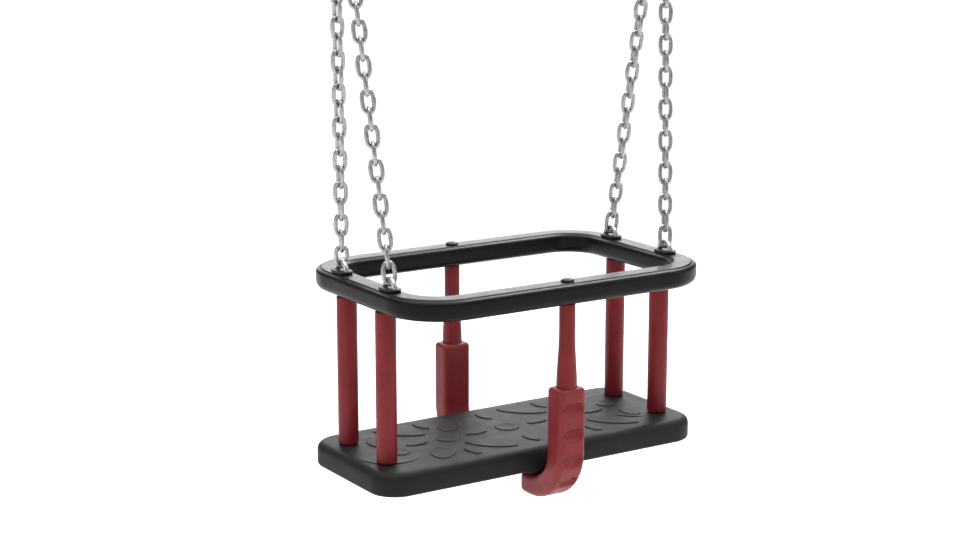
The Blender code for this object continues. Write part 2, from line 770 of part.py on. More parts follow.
def build_chains(galvanised):
    """Four chains from the shackle pins to the staples, each a run of links and an end link."""
    run_mesh = chain_run_mesh()
    end_mesh = end_link_mesh()
    runs = {"left": [], "right": []}
    end_links = {"left": [], "right": []}
    for side, sx in SIDES.items():
        for end, sy in ENDS.items():
            top = Vector((sx * HANGER_X, sy * CHAIN_TOP_Y, PIN_Z))
            foot = Vector((sx * RAIL_X, sy * STAPLE_Y, STAPLE_Z))
            up = (top - foot).normalized()
            across = (Vector((0, 1, 0)) - up * up.y).normalized()
            basis = Matrix((across.cross(up), across, up)).transposed()
            for mesh, label, group in (
                (run_mesh, "chain", runs),
                (end_mesh, "end_link", end_links),
            ):
                obj = place(mesh, top, basis.to_euler())
                obj.name = f"{label}_{side}_{end}"
                group[side].append(obj)
    for mesh in (run_mesh, end_mesh):
        mesh.materials.append(galvanised)
        mesh.shade_smooth()
        mesh.set_sharp_from_angle(angle=math.radians(35))
    return runs, end_links


# ---------------------------------------------------------------- hangers and shackles


def build_bracket(side, x, zinc):
    """Plate with four screw holes and two cheeks that hold the axle."""
    half_x, half_y = PLATE_HOLES
    holes = [circle(PLATE_HOLE, (sx * half_x, sy * half_y), 12) for sx in SIGNS for sy in SIGNS]
    outline = rounded_rectangle(PLATE_SIZE[0] / 2, PLATE_SIZE[1] / 2, PLATE_CORNER, 3)
    bracket = slab(outline, PLATE_THICK, (x, 0, -PLATE_THICK / 2), holes=holes)
    half_width = CHEEK_WIDTH / 2
    tongue = [
        (half_width, -PLATE_THICK / 2),
        (-half_width, -PLATE_THICK / 2),
        *arc((0, AXLE_Z), CHEEK_ROUND, 165, 375, 8),
    ]
    offset = CHEEK_GAP / 2 + CHEEK_THICK / 2
    cheeks = []
    for sx in SIGNS:
        cheek = slab(tongue, CHEEK_THICK, (0, 0, 0), holes=[circle(AXLE_RADIUS + GAP, (0, AXLE_Z))])
        cheek.data.transform(Matrix.Translation((x + sx * offset, 0, 0)) @ SIDE_VIEW)
        cheeks.append(cheek)
    weld(bracket, cheeks)
    return finish_part(bracket, f"hanger_bracket_{side}", zinc)


def build_axle(side, x, zinc):
    """Axle bolt along X with its hexagon head, and its nut."""
    grip = CHEEK_GAP / 2 + CHEEK_THICK + GAP
    tail = grip + AXLE_NUT + BOLT_TAIL
    corner_radius = hexagon(AXLE_HEX)[0][0]
    axle = cylinder(AXLE_RADIUS, grip + tail, (x + (tail - grip) / 2, 0, AXLE_Z), "X")
    root = 0.1 * MM
    head_middle = (x - grip - AXLE_HEAD / 2 + root, 0, AXLE_Z)
    weld(axle, [cylinder(corner_radius, AXLE_HEAD, head_middle, "X", 6)])
    nut_middle = (x + grip + AXLE_NUT / 2, 0, AXLE_Z)
    nut = slab(hexagon(AXLE_HEX), AXLE_NUT, nut_middle, "X", holes=[circle(AXLE_RADIUS + GAP)])
    return [
        finish_part(axle, f"hanger_axle_{side}", zinc),
        finish_part(nut, f"hanger_nut_{side}", zinc, smooth=False),
    ]


def build_eye(side, x, zinc, nylon):
    """Nylon bush on the axle, and the barrel with the loop that the shackle hangs in."""
    half = BUSH_LENGTH / 2
    bore = AXLE_RADIUS + GAP
    sleeve = [(bore, half), (BUSH_RADIUS, half), (BUSH_RADIUS, -half), (bore, -half)]
    bush = turned(sleeve, (x, 0, AXLE_Z), "X", 20, closed=True)
    half = BARREL_LENGTH / 2
    bore = BUSH_RADIUS + GAP
    sleeve = [(bore, half), (BARREL_RADIUS, half), (BARREL_RADIUS, -half), (bore, -half)]
    eye = turned(sleeve, (x, 0, AXLE_Z), "X", 20, closed=True)
    loop = [(x + u, 0, EYE_Z + v) for u, v in circle(EYE_RADIUS, steps=16)]
    gap_cutter = cylinder(BUSH_RADIUS + 2 * MM, BARREL_LENGTH, (x, 0, AXLE_Z), "X", 20)
    weld(eye, [freeze(cut(rod(loop, EYE_WIRE / 2, 2, True), [gap_cutter]))])
    return [
        finish_part(bush, f"hanger_bush_{side}", nylon),
        finish_part(eye, f"hanger_eye_{side}", zinc),
    ]


def build_shackle(side, x, zinc):
    """Wide shackle in the YZ plane, with the pin that carries both chains and its nut."""
    arch_top = EYE_Z - (EYE_RADIUS - EYE_WIRE / 2) + SHACKLE_WIRE / 2 + GAP
    arch_z = arch_top - SHACKLE_HALF
    legs_end = PIN_Z + EAR_RADIUS - 2 * MM
    arch = arc((0, arch_z), SHACKLE_HALF, 0, 180, 9)
    path = [(SHACKLE_HALF, legs_end), *arch, (-SHACKLE_HALF, legs_end)]
    bow = rod([(x, y, z) for y, z in path], SHACKLE_WIRE / 2)
    ears = [cylinder(EAR_RADIUS, EAR_THICK, (x, sy * SHACKLE_HALF, PIN_Z), "Y") for sy in SIGNS]
    weld(bow, ears)
    cut(bow, [cylinder(M6_HOLE, 4 * SHACKLE_HALF, (x, 0, PIN_Z), "Y", HOLE_SIDES)])
    head_radius, head_height = PIN_HEAD
    seat = SHACKLE_HALF + EAR_THICK / 2 + GAP
    tail = seat + M6_NUT_HEIGHT + BOLT_TAIL
    pin = turned(
        [
            (0, seat + head_height),
            (head_radius, seat + head_height),
            (head_radius, seat),
            (SHACKLE_PIN_RADIUS, seat),
            (SHACKLE_PIN_RADIUS, -tail),
            (0, -tail),
        ],
        (x, 0, PIN_Z),
        "Y",
        12,
    )
    nut = m6_nut(f"shackle_nut_{side}", (x, -seat - M6_NUT_HEIGHT / 2, PIN_Z), zinc, "Y")
    return [
        finish_part(bow, f"shackle_bow_{side}", zinc),
        finish_part(pin, f"shackle_pin_{side}", zinc),
        nut,
    ]


# ---------------------------------------------------------------- assembly


def build():
    """Build every part and parent it to the empty on its joint's axis."""
    rubber = material("rubber", (0.012, 0.012, 0.012), 0.5)
    red = material("red_plastic", (0.2, 0.022, 0.026), 0.4)
    black = material("black_steel", (0.01, 0.01, 0.01), 0.35)
    brass = material("brass", (0.7, 0.5, 0.2), 0.3, 1.0)
    zinc = material("zinc_plated_steel", (0.55, 0.56, 0.57), 0.35, 1.0)
    galvanised = material("galvanised_chain", (0.5, 0.5, 0.49), 0.4, 1.0)
    core_steel = material("core_steel", (0.3, 0.3, 0.3), 0.5, 1.0)
    nylon = material("nylon", (0.75, 0.75, 0.7), 0.45)

    runs, end_links = build_chains(galvanised)
    swing_axes = {}
    sway_axes = {}
    for side, sx in SIDES.items():
        x = sx * HANGER_X
        build_bracket(side, x, zinc)
        build_axle(side, x, zinc)
        swing_axes[side] = axis_empty(f"swing_axis_{side}", (x, 0, AXLE_Z))
        ride_on(swing_axes[side], build_eye(side, x, zinc, nylon) + build_shackle(side, x, zinc))
        sway_axes[side] = axis_empty(f"sway_axis_{side}", (x, 0, PIN_Z), swing_axes[side])
        ride_on(sway_axes[side], runs[side])
    ride_on(sway_axes["left"], end_links["left"])

    seat_axis = axis_empty("seat_axis", (-RAIL_X, 0, STAPLE_Z), sway_axes["left"])
    seat_unit = build_ring(rubber, core_steel) + build_seat(rubber, core_steel)
    seat_unit += build_corner_posts(red) + build_centre_posts(red)
    seat_unit += build_staples(zinc, black, zinc) + build_hooks(red, brass, black)
    ride_on(seat_axis, seat_unit)
    link_axis = axis_empty("end_link_axis", (RAIL_X, 0, STAPLE_Z), seat_axis)
    ride_on(link_axis, end_links["right"])


build()
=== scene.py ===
"""Toddler bucket swing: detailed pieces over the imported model, with looks, lights and camera."""

import math
import random

import bmesh
import bpy
from mathutils import Matrix, Vector


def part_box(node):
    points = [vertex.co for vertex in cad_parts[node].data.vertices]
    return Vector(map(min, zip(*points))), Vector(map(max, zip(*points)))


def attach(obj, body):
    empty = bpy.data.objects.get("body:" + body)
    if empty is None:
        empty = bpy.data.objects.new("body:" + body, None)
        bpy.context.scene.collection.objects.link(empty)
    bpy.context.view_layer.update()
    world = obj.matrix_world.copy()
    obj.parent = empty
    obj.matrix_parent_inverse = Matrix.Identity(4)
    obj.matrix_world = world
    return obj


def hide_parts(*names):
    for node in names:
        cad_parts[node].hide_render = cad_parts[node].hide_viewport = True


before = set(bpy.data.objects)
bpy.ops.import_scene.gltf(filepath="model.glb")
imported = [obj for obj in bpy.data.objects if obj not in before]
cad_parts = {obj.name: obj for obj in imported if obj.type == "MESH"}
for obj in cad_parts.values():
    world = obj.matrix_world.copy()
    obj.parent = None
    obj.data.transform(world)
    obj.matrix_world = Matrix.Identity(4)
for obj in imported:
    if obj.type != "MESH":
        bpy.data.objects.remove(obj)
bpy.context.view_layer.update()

MM = 0.001
GAP = 0.3 * MM
X = Vector((1, 0, 0))
Y = Vector((0, 1, 0))
Z = Vector((0, 0, 1))
SIDES = {"left": -1, "right": 1}
ENDS = {"front": -1, "back": 1}
CORNERS = [(side, end) for side in SIDES for end in ENDS]
QUARTERS = ((0, 1, 1), (90, -1, 1), (180, -1, -1), (270, 1, -1))

# A pocket or a blind hole is given as (radius, depth).

# Ring
RING_LOW, RING_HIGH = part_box("ring_cover")
RING_WIDTH = 32 * MM
RING_CORNER = 51 * MM
RAIL_X = RING_HIGH[0] - RING_WIDTH / 2
RAIL_Y = RING_HIGH[1] - RING_WIDTH / 2
RING_TOP = RING_HIGH[2]
RING_BOTTOM = RING_LOW[2]
CORE_WIDTH = 18 * MM
CORE_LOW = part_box("ring_core")[0][2]
CORE_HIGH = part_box("ring_core")[1][2]
RING_NUT_POCKET = (7.5 * MM, 7 * MM)

# Seat
SEAT_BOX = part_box("seat_cover")
SEAT_HALF = (SEAT_BOX[1][0], SEAT_BOX[1][1])
COLLAR_RADIUS = 10.5 * MM
COLLAR_HEIGHT = 1 * MM
SEAT_TOP = SEAT_BOX[1][2] - COLLAR_HEIGHT
SEAT_THICK = 27 * MM
SEAT_BOTTOM = SEAT_TOP - SEAT_THICK
SEAT_CORNER = 33 * MM
SEAT_TOP_ROUND = 9 * MM
SEAT_BOTTOM_ROUND = 4 * MM
BOSS_RADIUS = 19 * MM
BOSS_SPREAD = 26 * MM
RELIEF = 1.1 * MM
SEAT_CORE_CORNER = 20 * MM
SEAT_NUT_POCKET = (10 * MM, 9 * MM)

# Staples and posts
STAPLE_WIRE = 6 * MM
STAPLE_SPREAD = 20 * MM
STAPLE_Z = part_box("u_bolt_left_front")[1][2] - STAPLE_WIRE / 2
STAPLE_Y = 53 * MM
LONG_LEG_Y = STAPLE_Y - STAPLE_SPREAD / 2
SHORT_LEG_Y = STAPLE_Y + STAPLE_SPREAD / 2
BOLT_HOLE = 3.4 * MM
M6_BORE = 3.3 * MM
CORNER_POST_RADIUS = 11.5 * MM
CENTRE_POST_RADII = (9 * MM, 11.6 * MM)
POST_BORE = 3.6 * MM

# Hooks
HOOK_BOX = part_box("hook_front")
HOOK_TOP = HOOK_BOX[1][2]
HOOK_LOW = HOOK_BOX[0][2]
HOOK_WIDTH = HOOK_BOX[1][0] - HOOK_BOX[0][0]
HOOK_DEPTH = 28.5 * MM
HOOK_FOOT_DEPTH = 25 * MM
HOOK_OUTER_BEND = 62 * MM
HOOK_END_Y = 51 * MM
HOOK_ROUND = 6.8 * MM
HOOK_SCREW_Y = 62 * MM
HOOK_STEP = 0.8 * MM
SOCKET_DEPTH = 8 * MM
INSERT_HOLE = (6.3 * MM, 21 * MM)
SCREW_HOLE = 4.3 * MM
SCREW_HEAD_HOLE = (8.3 * MM, 7 * MM)
DOME_RADIUS = 7.5 * MM
DOME_HEIGHT = 3.6 * MM
GRIP_DROP = 23.5 * MM
GRIP_PITCH = 29.6 * MM
GRIPS = 4
GRIP_HALF = (14.2 * MM, 8.2 * MM)
GRIP_DEPTH = 4.2 * MM

# Chains
CAD_WIRE = 5 * MM
CHAIN_WIRE = 4.7 * MM
CHAIN_PITCH = 18.5 * MM
CHAIN_WIDTH = 17 * MM
CHAIN_LINKS = 23
PIVOT_PLAY = 0.7 * MM
CHAIN_TOP_Y = 7 * MM
CHAIN_TWISTS = {
    "left_front": ((0, -14), (6, -28), (20, -28), (22, -26)),
    "left_back": ((0, 4), (12, 0), (18, -12), (22, -26)),
    "right_front": ((0, -12), (6, -25), (19, -25), (22, -22)),
    "right_back": ((0, 2), (10, -14), (18, -22), (22, -24)),
}

# Hangers
HANGER_X = 213 * MM
PIN_Z = -88 * MM
AXLE_Z = -32 * MM
PLATE_SIZE = (96 * MM, 60 * MM)
PLATE_THICK = 6 * MM
PLATE_CORNER = 8 * MM
PLATE_HOLES = (36 * MM, 19 * MM)
CHEEK_THICK = 5 * MM
CHEEK_X = 14.5 * MM
CHEEK_HALF_WIDTH = 20 * MM
CHEEK_ROUND = 13 * MM
AXLE_RADIUS = 5 * MM
AXLE_HOLE = 5.3 * MM
AXLE_GRIP = 17.3 * MM
AXLE_HEX = 17 * MM
AXLE_NUT_BORE = 5.2 * MM
BARREL = (9 * MM, 13 * MM, 10.5 * MM)  # bore, radius and half length
BUSH = (5.3 * MM, 8.7 * MM, 11.7 * MM)
BARREL_CLEARANCE = (10.7 * MM, 21 * MM)  # radius and length
EYE_DROP = 25 * MM
EYE_RADIUS = 12 * MM
EYE_WIRE = 4 * MM
SHACKLE_HALF = 15 * MM
SHACKLE_WIRE = 3.5 * MM
SHACKLE_EAR = (7 * MM, 3.7 * MM)  # radius and half length

# Stage and camera: places and sizes in metres, lens and sensor in millimetres
FLOOR_Z = -1.3
SURROUND = (0.97, 0.98, 1.0, 1.0)
SURROUND_STRENGTH = 0.3
CEILING_STRENGTH = 3.6
CEILING_SPREAD = 80
LIGHT_TARGET = Vector((0, 0, -0.6))
LIGHTS = (  # name, place, size and power in watts
    ("back", (1.7, 2.7, 0.8), 2.6, 60),
    ("shoulder", (1.6, 1.1, 1.25), 0.6, 24),
    ("key", (2.4, -1.6, 0.7), 0.9, 13),
    ("fill", (-2.8, -0.2, 0.3), 1.6, 8),
)
CAMERA_PLACE = (-1.2390, -1.8681, -0.0373)
CAMERA_RIGHT = Vector((0.8410, -0.5411, 0.0)).normalized()
CAMERA_AHEAD = Vector((0.5287, 0.8217, -0.2127)).normalized()
CAMERA_LENS = 75.23
CAMERA_SENSOR = 36


# ---------------------------------------------------------------- mesh helpers


def skin(rings, along=False):
    """Points and faces over equal rings; the ends are capped, or joined where along is set."""
    count = len(rings[0])
    points = [point for ring in rings for point in ring]
    faces = []
    for i in range(len(rings) if along else len(rings) - 1):
        a = i * count
        b = (i + 1) % len(rings) * count
        for j in range(count):
            k = (j + 1) % count
            faces.append((a + j, a + k, b + k, b + j))
    if not along:
        faces.append(tuple(range(count)))
        faces.append(tuple(range(len(points) - count, len(points))))
    return points, faces


def solid(name, shells, look=None, sharp=40):
    """Object with one mesh made of closed shells, welded, facing out and shaded smooth."""
    bm = bmesh.new()
    for points, faces in shells:
        verts = [bm.verts.new(point) for point in points]
        for face in faces:
            bm.faces.new([verts[i] for i in face])
    bmesh.ops.remove_doubles(bm, verts=bm.verts, dist=1e-6)
    bmesh.ops.recalc_face_normals(bm, faces=bm.faces)
    mesh = bpy.data.meshes.new(name)
    bm.to_mesh(mesh)
    bm.free()
    obj = bpy.data.objects.new(name, mesh)
    bpy.context.scene.collection.objects.link(obj)
    if look:
        dress(obj, look, sharp)
    return obj


def dress(obj, look, sharp):
    """Give a piece its material and smooth shading between sharp edges."""
    obj.data.materials.clear()
    obj.data.materials.append(look)
    obj.data.shade_smooth()
    obj.data.set_sharp_from_angle(angle=math.radians(sharp))
    return obj


def combine(obj, tools, operation="DIFFERENCE"):
    """Cut the tools from a piece, or weld them on, and remove them."""
    bm = bmesh.new()
    for tool in tools:
        bm.from_mesh(tool.data)
        bpy.data.objects.remove(tool, do_unlink=True)
    mesh = bpy.data.meshes.new("tools")
    bm.to_mesh(mesh)
    bm.free()
    cutter = bpy.data.objects.new("tools", mesh)
    bpy.context.scene.collection.objects.link(cutter)
    step = obj.modifiers.new("combine", "BOOLEAN")
    step.operation = operation
    step.solver = "EXACT"
    step.use_self = operation == "UNION"
    step.object = cutter
    bpy.context.view_layer.update()
    graph = bpy.context.evaluated_depsgraph_get()
    made = bpy.data.meshes.new_from_object(obj.evaluated_get(graph))
    obj.modifiers.clear()
    obj.data = made
    bpy.data.objects.remove(cutter, do_unlink=True)


def arc(centre, radius, start, end, steps):
    """Points of a flat arc between two angles in degrees."""
    angles = [math.radians(start + (end - start) * i / steps) for i in range(steps + 1)]
    return [(centre[0] + radius * math.cos(a), centre[1] + radius * math.sin(a)) for a in angles]


def rounded_rectangle(half_x, half_y, radius, steps=12):
    """Points of a rectangle with round corners, anticlockwise."""
    points = []
    for start, sx, sy in QUARTERS:
        corner = (sx * (half_x - radius), sy * (half_y - radius))
        points += arc(corner, radius, start, start + 90, steps)
    return points


def fillet(corners, steps=5):
    """Closed outline through (x, y, radius) corners, each rounded."""
    outline = []
    for i, (x, y, radius) in enumerate(corners):
        here = Vector((x, y))
        back = Vector(corners[i - 1][:2]) - here
        ahead = Vector(corners[(i + 1) % len(corners)][:2]) - here
        half = back.angle(ahead) / 2
        reach = radius / math.tan(half)
        inward = (back.normalized() + ahead.normalized()).normalized()
        centre = here + inward * radius / math.sin(half)
        start = here + back.normalized() * reach - centre
        end = here + ahead.normalized() * reach - centre
        turn = start.angle_signed(end)
        for k in range(steps + 1):
            spoke = start.copy()
            spoke.rotate(Matrix.Rotation(-turn * k / steps, 2))
            outline.append(tuple(centre + spoke))
    return outline


def turned(name, profile, centre, axis="Z", segments=48, closed=False, look=None):
    """Round piece from (radius, height) pairs about an axis through centre."""
    rings = []
    for radius, height in profile:
        ring = []
        for i in range(segments):
            a = 2 * math.pi * i / segments
            u, v = radius * math.cos(a), radius * math.sin(a)
            spot = {"X": (height, u, v), "Y": (v, height, u), "Z": (u, v, height)}[axis]
            ring.append(Vector(centre) + Vector(spot))
        rings.append(ring)
    return solid(name, [skin(rings, along=closed)], look)


def drum(radius, length, centre, axis="Z", segments=32):
    """Plain round tool for cutting holes."""
    return turned("tool", [(radius, -length / 2), (radius, length / 2)], centre, axis, segments)


def tube(path, normal, radius, closed=False, segments=16):
    """Shell of a round bar along a flat path; radius is one number or one for each point."""
    radii = radius if isinstance(radius, list) else [radius] * len(path)
    last = len(path) - 1
    rings = []
    for i, point in enumerate(path):
        before = path[i - 1] if closed or i > 0 else point
        after = path[(i + 1) % len(path)] if closed or i < last else point
        side = (after - before).normalized().cross(normal).normalized()
        turns = [2 * math.pi * k / segments for k in range(segments)]
        spokes = [side * math.cos(a) + normal * math.sin(a) for a in turns]
        rings.append([point + radii[i] * spoke for spoke in spokes])
    return skin(rings, along=closed)


def prism(outline, low, high, axis="Z", centre=(0, 0, 0), rim=0.0, steps=3):
    """Shell between two parallel faces of a convex outline about the origin, with rounded rims."""
    levels = []
    for k in range(steps + 1):
        a = math.pi / 2 * k / steps
        levels.append((rim * (1 - math.sin(a)), low + rim * (1 - math.cos(a))))
    levels += [(inset, high + low - height) for inset, height in reversed(levels)]
    rings = []
    for inset, height in levels:
        ring = []
        for u, v in outline:
            reach = math.hypot(u, v)
            u, v = u * (1 - inset / reach), v * (1 - inset / reach)
            spot = {"X": (height, u, v), "Y": (v, height, u), "Z": (u, v, height)}[axis]
            ring.append(Vector(centre) + Vector(spot))
        rings.append(ring)
    return skin(rings)


def ride(obj, body, slot, *nodes):
    """Put a piece on its body, in place of the CAD nodes it stands for; the slot is not used."""
    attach(obj, body)
    if nodes:
        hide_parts(*nodes)


# ---------------------------------------------------------------- materials


class Finish:
    """Principled material with helpers for its procedural nodes."""

    def __init__(self, name, roughness, metallic=0.0, specular=0.5):
        self.material = bpy.data.materials.new(name)
        self.material.use_nodes = True
        self.tree = self.material.node_tree
        self.shader = self.tree.nodes["Principled BSDF"]
        self.shader.inputs["Metallic"].default_value = metallic
        self.shader.inputs["Roughness"].default_value = roughness
        self.shader.inputs["Specular IOR Level"].default_value = specular
        self.where = self.tree.nodes.new("ShaderNodeTexCoord").outputs["Object"]

    def noise(self, scale, detail=3.0, roughness=0.5):
        """Noise in the piece's own coordinates; scale is in waves for each metre."""
        node = self.tree.nodes.new("ShaderNodeTexNoise")
        node.inputs["Scale"].default_value = scale
        node.inputs["Detail"].default_value = detail
        node.inputs["Roughness"].default_value = roughness
        self.tree.links.new(self.where, node.inputs["Vector"])
        return node.outputs["Fac"]

    def cells(self, scale):
        """A random colour in each cell of a Voronoi texture, for spangles."""
        node = self.tree.nodes.new("ShaderNodeTexVoronoi")
        node.inputs["Scale"].default_value = scale
        self.tree.links.new(self.where, node.inputs["Vector"])
        return node.outputs["Color"]

    def ramp(self, factor, stops):
        """Colour ramp through (position, colour) stops."""
        node = self.tree.nodes.new("ShaderNodeValToRGB")
        elements = node.color_ramp.elements
        while len(elements) < len(stops):
            elements.new(0.5)
        for element, (position, colour) in zip(elements, stops):
            element.position = position
            element.color = (*colour, 1.0)
        self.tree.links.new(factor, node.inputs["Fac"])
        return node.outputs["Color"]

    def spread(self, factor, low, high, start=0.3, end=0.7):
        """A factor mapped on to another range."""
        node = self.tree.nodes.new("ShaderNodeMapRange")
        node.inputs["From Min"].default_value = start
        node.inputs["From Max"].default_value = end
        node.inputs["To Min"].default_value = low
        node.inputs["To Max"].default_value = high
        self.tree.links.new(factor, node.inputs["Value"])
        return node.outputs["Result"]

    def mix(self, amount, first, second, blend="MIX"):
        """Two colours mixed by an amount."""
        node = self.tree.nodes.new("ShaderNodeMix")
        node.data_type = "RGBA"
        node.blend_type = blend
        node.inputs[0].default_value = amount
        self.tree.links.new(first, node.inputs[6])
        self.tree.links.new(second, node.inputs[7])
        return node.outputs[2]

    def connect(self, socket, name):
        """Feed one of the shader's inputs."""
        self.tree.links.new(socket, self.shader.inputs[name])

    def bump(self, *layers):
        """Stack bumps of (height socket, strength, distance), finest last."""
        normal = None
        for height, strength, distance in layers:
            node = self.tree.nodes.new("ShaderNodeBump")
            node.inputs["Strength"].default_value = strength
            node.inputs["Distance"].default_value = distance
            self.tree.links.new(height, node.inputs["Height"])
            if normal:
                self.tree.links.new(normal, node.inputs["Normal"])
            normal = node.outputs["Normal"]
        self.connect(normal, "Normal")


def rubber_finish(name, dark, light, roughness, specular):
    """Black moulded rubber with a fine grain and dusty patches."""
    f = Finish(name, sum(roughness) / 2, specular=specular)
    patches = f.noise(22, 4, 0.6)
    grain = f.noise(1500, 2, 0.6)
    base = f.ramp(patches, [(0.3, (dark, dark, dark)), (0.7, (light, light, light * 0.97))])
    specks = f.ramp(grain, [(0.35, (0.72, 0.72, 0.72)), (0.65, (1.25, 1.25, 1.24))])
    f.connect(f.mix(1.0, base, specks, "MULTIPLY"), "Base Color")
    f.connect(f.spread(f.noise(60, 3), *roughness), "Roughness")
    f.bump((f.noise(260, 3), 0.12, 0.0005), (grain, 0.3, 0.0002))
    return f.material


def plastic_finish(name, dark, light, speckle):
    """Red moulded plastic with a light orange-peel texture and faint scuffs."""
    f = Finish(name, 0.42, specular=0.27)
    cloud = f.noise(28, 4, 0.55)
    grain = f.noise(1100, 2, 0.6)
    base = f.ramp(cloud, [(0.3, dark), (0.7, light)])
    low, high = 1 - speckle, 1 + speckle
    specks = f.ramp(grain, [(0.35, (low, low, low)), (0.65, (high, high, high))])
    f.connect(f.mix(1.0, base, specks, "MULTIPLY"), "Base Color")
    f.connect(f.spread(f.noise(90, 4, 0.6), 0.36, 0.52), "Roughness")
    f.bump((f.noise(420, 2), 0.2, 0.0004), (grain, 0.25, 0.0002))
    return f.material


def metal_finish(name, dark, light, roughness, spangle):
    """Coated steel: spangled cells, cloudy roughness and fine pits."""
    f = Finish(name, sum(roughness) / 2, metallic=1.0)
    grains = f.ramp(f.cells(spangle), [(0.2, dark), (0.9, light)])
    clouds = f.ramp(f.noise(140, 4), [(0.3, dark), (0.7, light)])
    f.connect(f.mix(0.35, grains, clouds), "Base Color")
    f.connect(f.spread(f.noise(300, 4, 0.6), *roughness), "Roughness")
    f.bump((f.noise(500, 3), 0.2, 0.0003), (f.noise(2600, 2), 0.15, 0.0001))
    return f.material


def coated_finish(name, dark, light, roughness, specular=0.5):
    """Painted or moulded surface with cloudy tone and a fine peel."""
    f = Finish(name, sum(roughness) / 2, specular=specular)
    f.connect(f.ramp(f.noise(160, 4), [(0.3, dark), (0.7, light)]), "Base Color")
    f.connect(f.spread(f.noise(350, 3), *roughness), "Roughness")
    f.bump((f.noise(900, 2), 0.2, 0.0002), (f.noise(3000, 2), 0.1, 0.0001))
    return f.material


RED = ((0.175, 0.011, 0.0145), (0.222, 0.0165, 0.02))
GRIP_RED = ((0.19, 0.0165, 0.0195), (0.243, 0.025, 0.029))
STEEL = ((0.30, 0.30, 0.29), (0.58, 0.58, 0.56))
BLACK_COAT = ((0.005, 0.005, 0.005), (0.010, 0.010, 0.011))
RUBBER = rubber_finish("moulded_rubber", 0.004, 0.008, (0.27, 0.36), 0.14)
SEAT_RUBBER = rubber_finish("seat_rubber", 0.011, 0.016, (0.5, 0.58), 0.16)
PLASTIC = plastic_finish("red_moulded_plastic", *RED, 0.13)
GRIP_PLASTIC = plastic_finish("red_grip_plastic", *GRIP_RED, 0.22)
CHAIN = metal_finish("galvanised_chain_steel", *STEEL, (0.26, 0.42), 700)
ZINC = metal_finish("zinc_plated_steel", (0.50, 0.50, 0.49), (0.72, 0.72, 0.70), (0.22, 0.36), 400)
CORE = metal_finish("mill_steel", (0.22, 0.22, 0.22), (0.34, 0.34, 0.35), (0.4, 0.6), 300)
BRASS = metal_finish("machined_brass", (0.50, 0.36, 0.14), (0.68, 0.50, 0.22), (0.25, 0.4), 900)
BLACK = coated_finish("black_coated_steel", *BLACK_COAT, (0.34, 0.5), 0.35)
NYLON = coated_finish("natural_nylon", (0.62, 0.61, 0.56), (0.74, 0.73, 0.68), (0.38, 0.5))


# ---------------------------------------------------------------- ring


def sweep_rail(name, section):
    """Sweep a closed (across, up) section round the ring's centreline."""
    rings = []
    corner_x = RAIL_X - RING_CORNER
    corner_y = RAIL_Y - RING_CORNER
    steps = 20
    for start, sx, sy in QUARTERS:
        for i in range(steps + 1):
            a = math.radians(start + 90 * i / steps)
            outward = Vector((math.cos(a), math.sin(a), 0))
            spot = Vector((sx * corner_x, sy * corner_y, RING_TOP)) + outward * RING_CORNER
            rings.append([spot + outward * u + Z * v for u, v in section])
    return solid(name, [skin(rings, along=True)])


def make_ring():
    """Rubber ring: raised flat on top, sloped shoulders, upright sides and the core's cavity."""
    half = RING_WIDTH / 2
    height = RING_TOP - RING_BOTTOM
    right = [  # each corner's place across and up, and its round
        (9.6 * MM, 0, 1.4 * MM),
        (10.8 * MM, -1.1 * MM, 1.0 * MM),
        (half, -3.0 * MM, 4.0 * MM),
        (half, -height, 8.5 * MM),
    ]
    section = fillet(right + [(-x, y, r) for x, y, r in reversed(right)])
    ring = sweep_rail("rubber_ring", section)
    reach = CORE_WIDTH / 2 + GAP
    high = CORE_HIGH - RING_TOP + GAP
    low = CORE_LOW - RING_TOP - GAP
    cavity = sweep_rail("tool", [(reach, high), (reach, low), (-reach, low), (-reach, high)])
    middle = (RING_TOP + RING_BOTTOM) / 2
    holes = []
    pockets = []
    for sx in SIDES.values():
        for sy in ENDS.values():
            for y in (LONG_LEG_Y, SHORT_LEG_Y):
                holes.append(drum(BOLT_HOLE, 2 * height, (sx * RAIL_X, sy * y, middle)))
            spot = (sx * RAIL_X, sy * SHORT_LEG_Y, RING_BOTTOM)
            pockets.append(drum(RING_NUT_POCKET[0], 2 * RING_NUT_POCKET[1], spot))
    holes += [drum(BOLT_HOLE, 2 * height, (0, sy * RAIL_Y, middle)) for sy in ENDS.values()]
    combine(ring, [cavity])
    combine(ring, holes)
    combine(ring, pockets)
    ride(dress(ring, RUBBER, 50), "seat", "rubber", "ring_cover")


# ---------------------------------------------------------------- seat


def pad(outline, centre, turn, height, rim=1.2, dish=0.0):
    """Raised pad on the seat's top: a gentle round rim, and a middle that may dip."""
    wide = max(math.hypot(u, v) for u, v in outline)
    levels = [(1.0, -1.0 * MM)]
    for k in range(5):
        a = math.pi / 2 * k / 4
        inset = rim * MM * (1 - math.cos(a)) / wide * 2.4
        levels.append((1 - inset, height - rim * MM * (1 - math.sin(a))))
    levels += [(0.72, height - dish * 0.5), (0.45, height - dish * 0.9), (0.2, height - dish)]
    swing = Matrix.Rotation(math.radians(turn), 2)
    rings = []
    for share, z in levels:
        ring = []
        for u, v in outline:
            spot = swing @ Vector((u * share, v * share))
            ring.append(Vector((centre[0] * MM + spot.x, centre[1] * MM + spot.y, SEAT_TOP + z)))
        rings.append(ring)
    return solid("pad", [skin(rings)])


def ellipse(half_x, half_y, steps=40):
    """Points of an ellipse whose halves are given in millimetres."""
    turns = [2 * math.pi * i / steps for i in range(steps)]
    return [(half_x * MM * math.cos(a), half_y * MM * math.sin(a)) for a in turns]


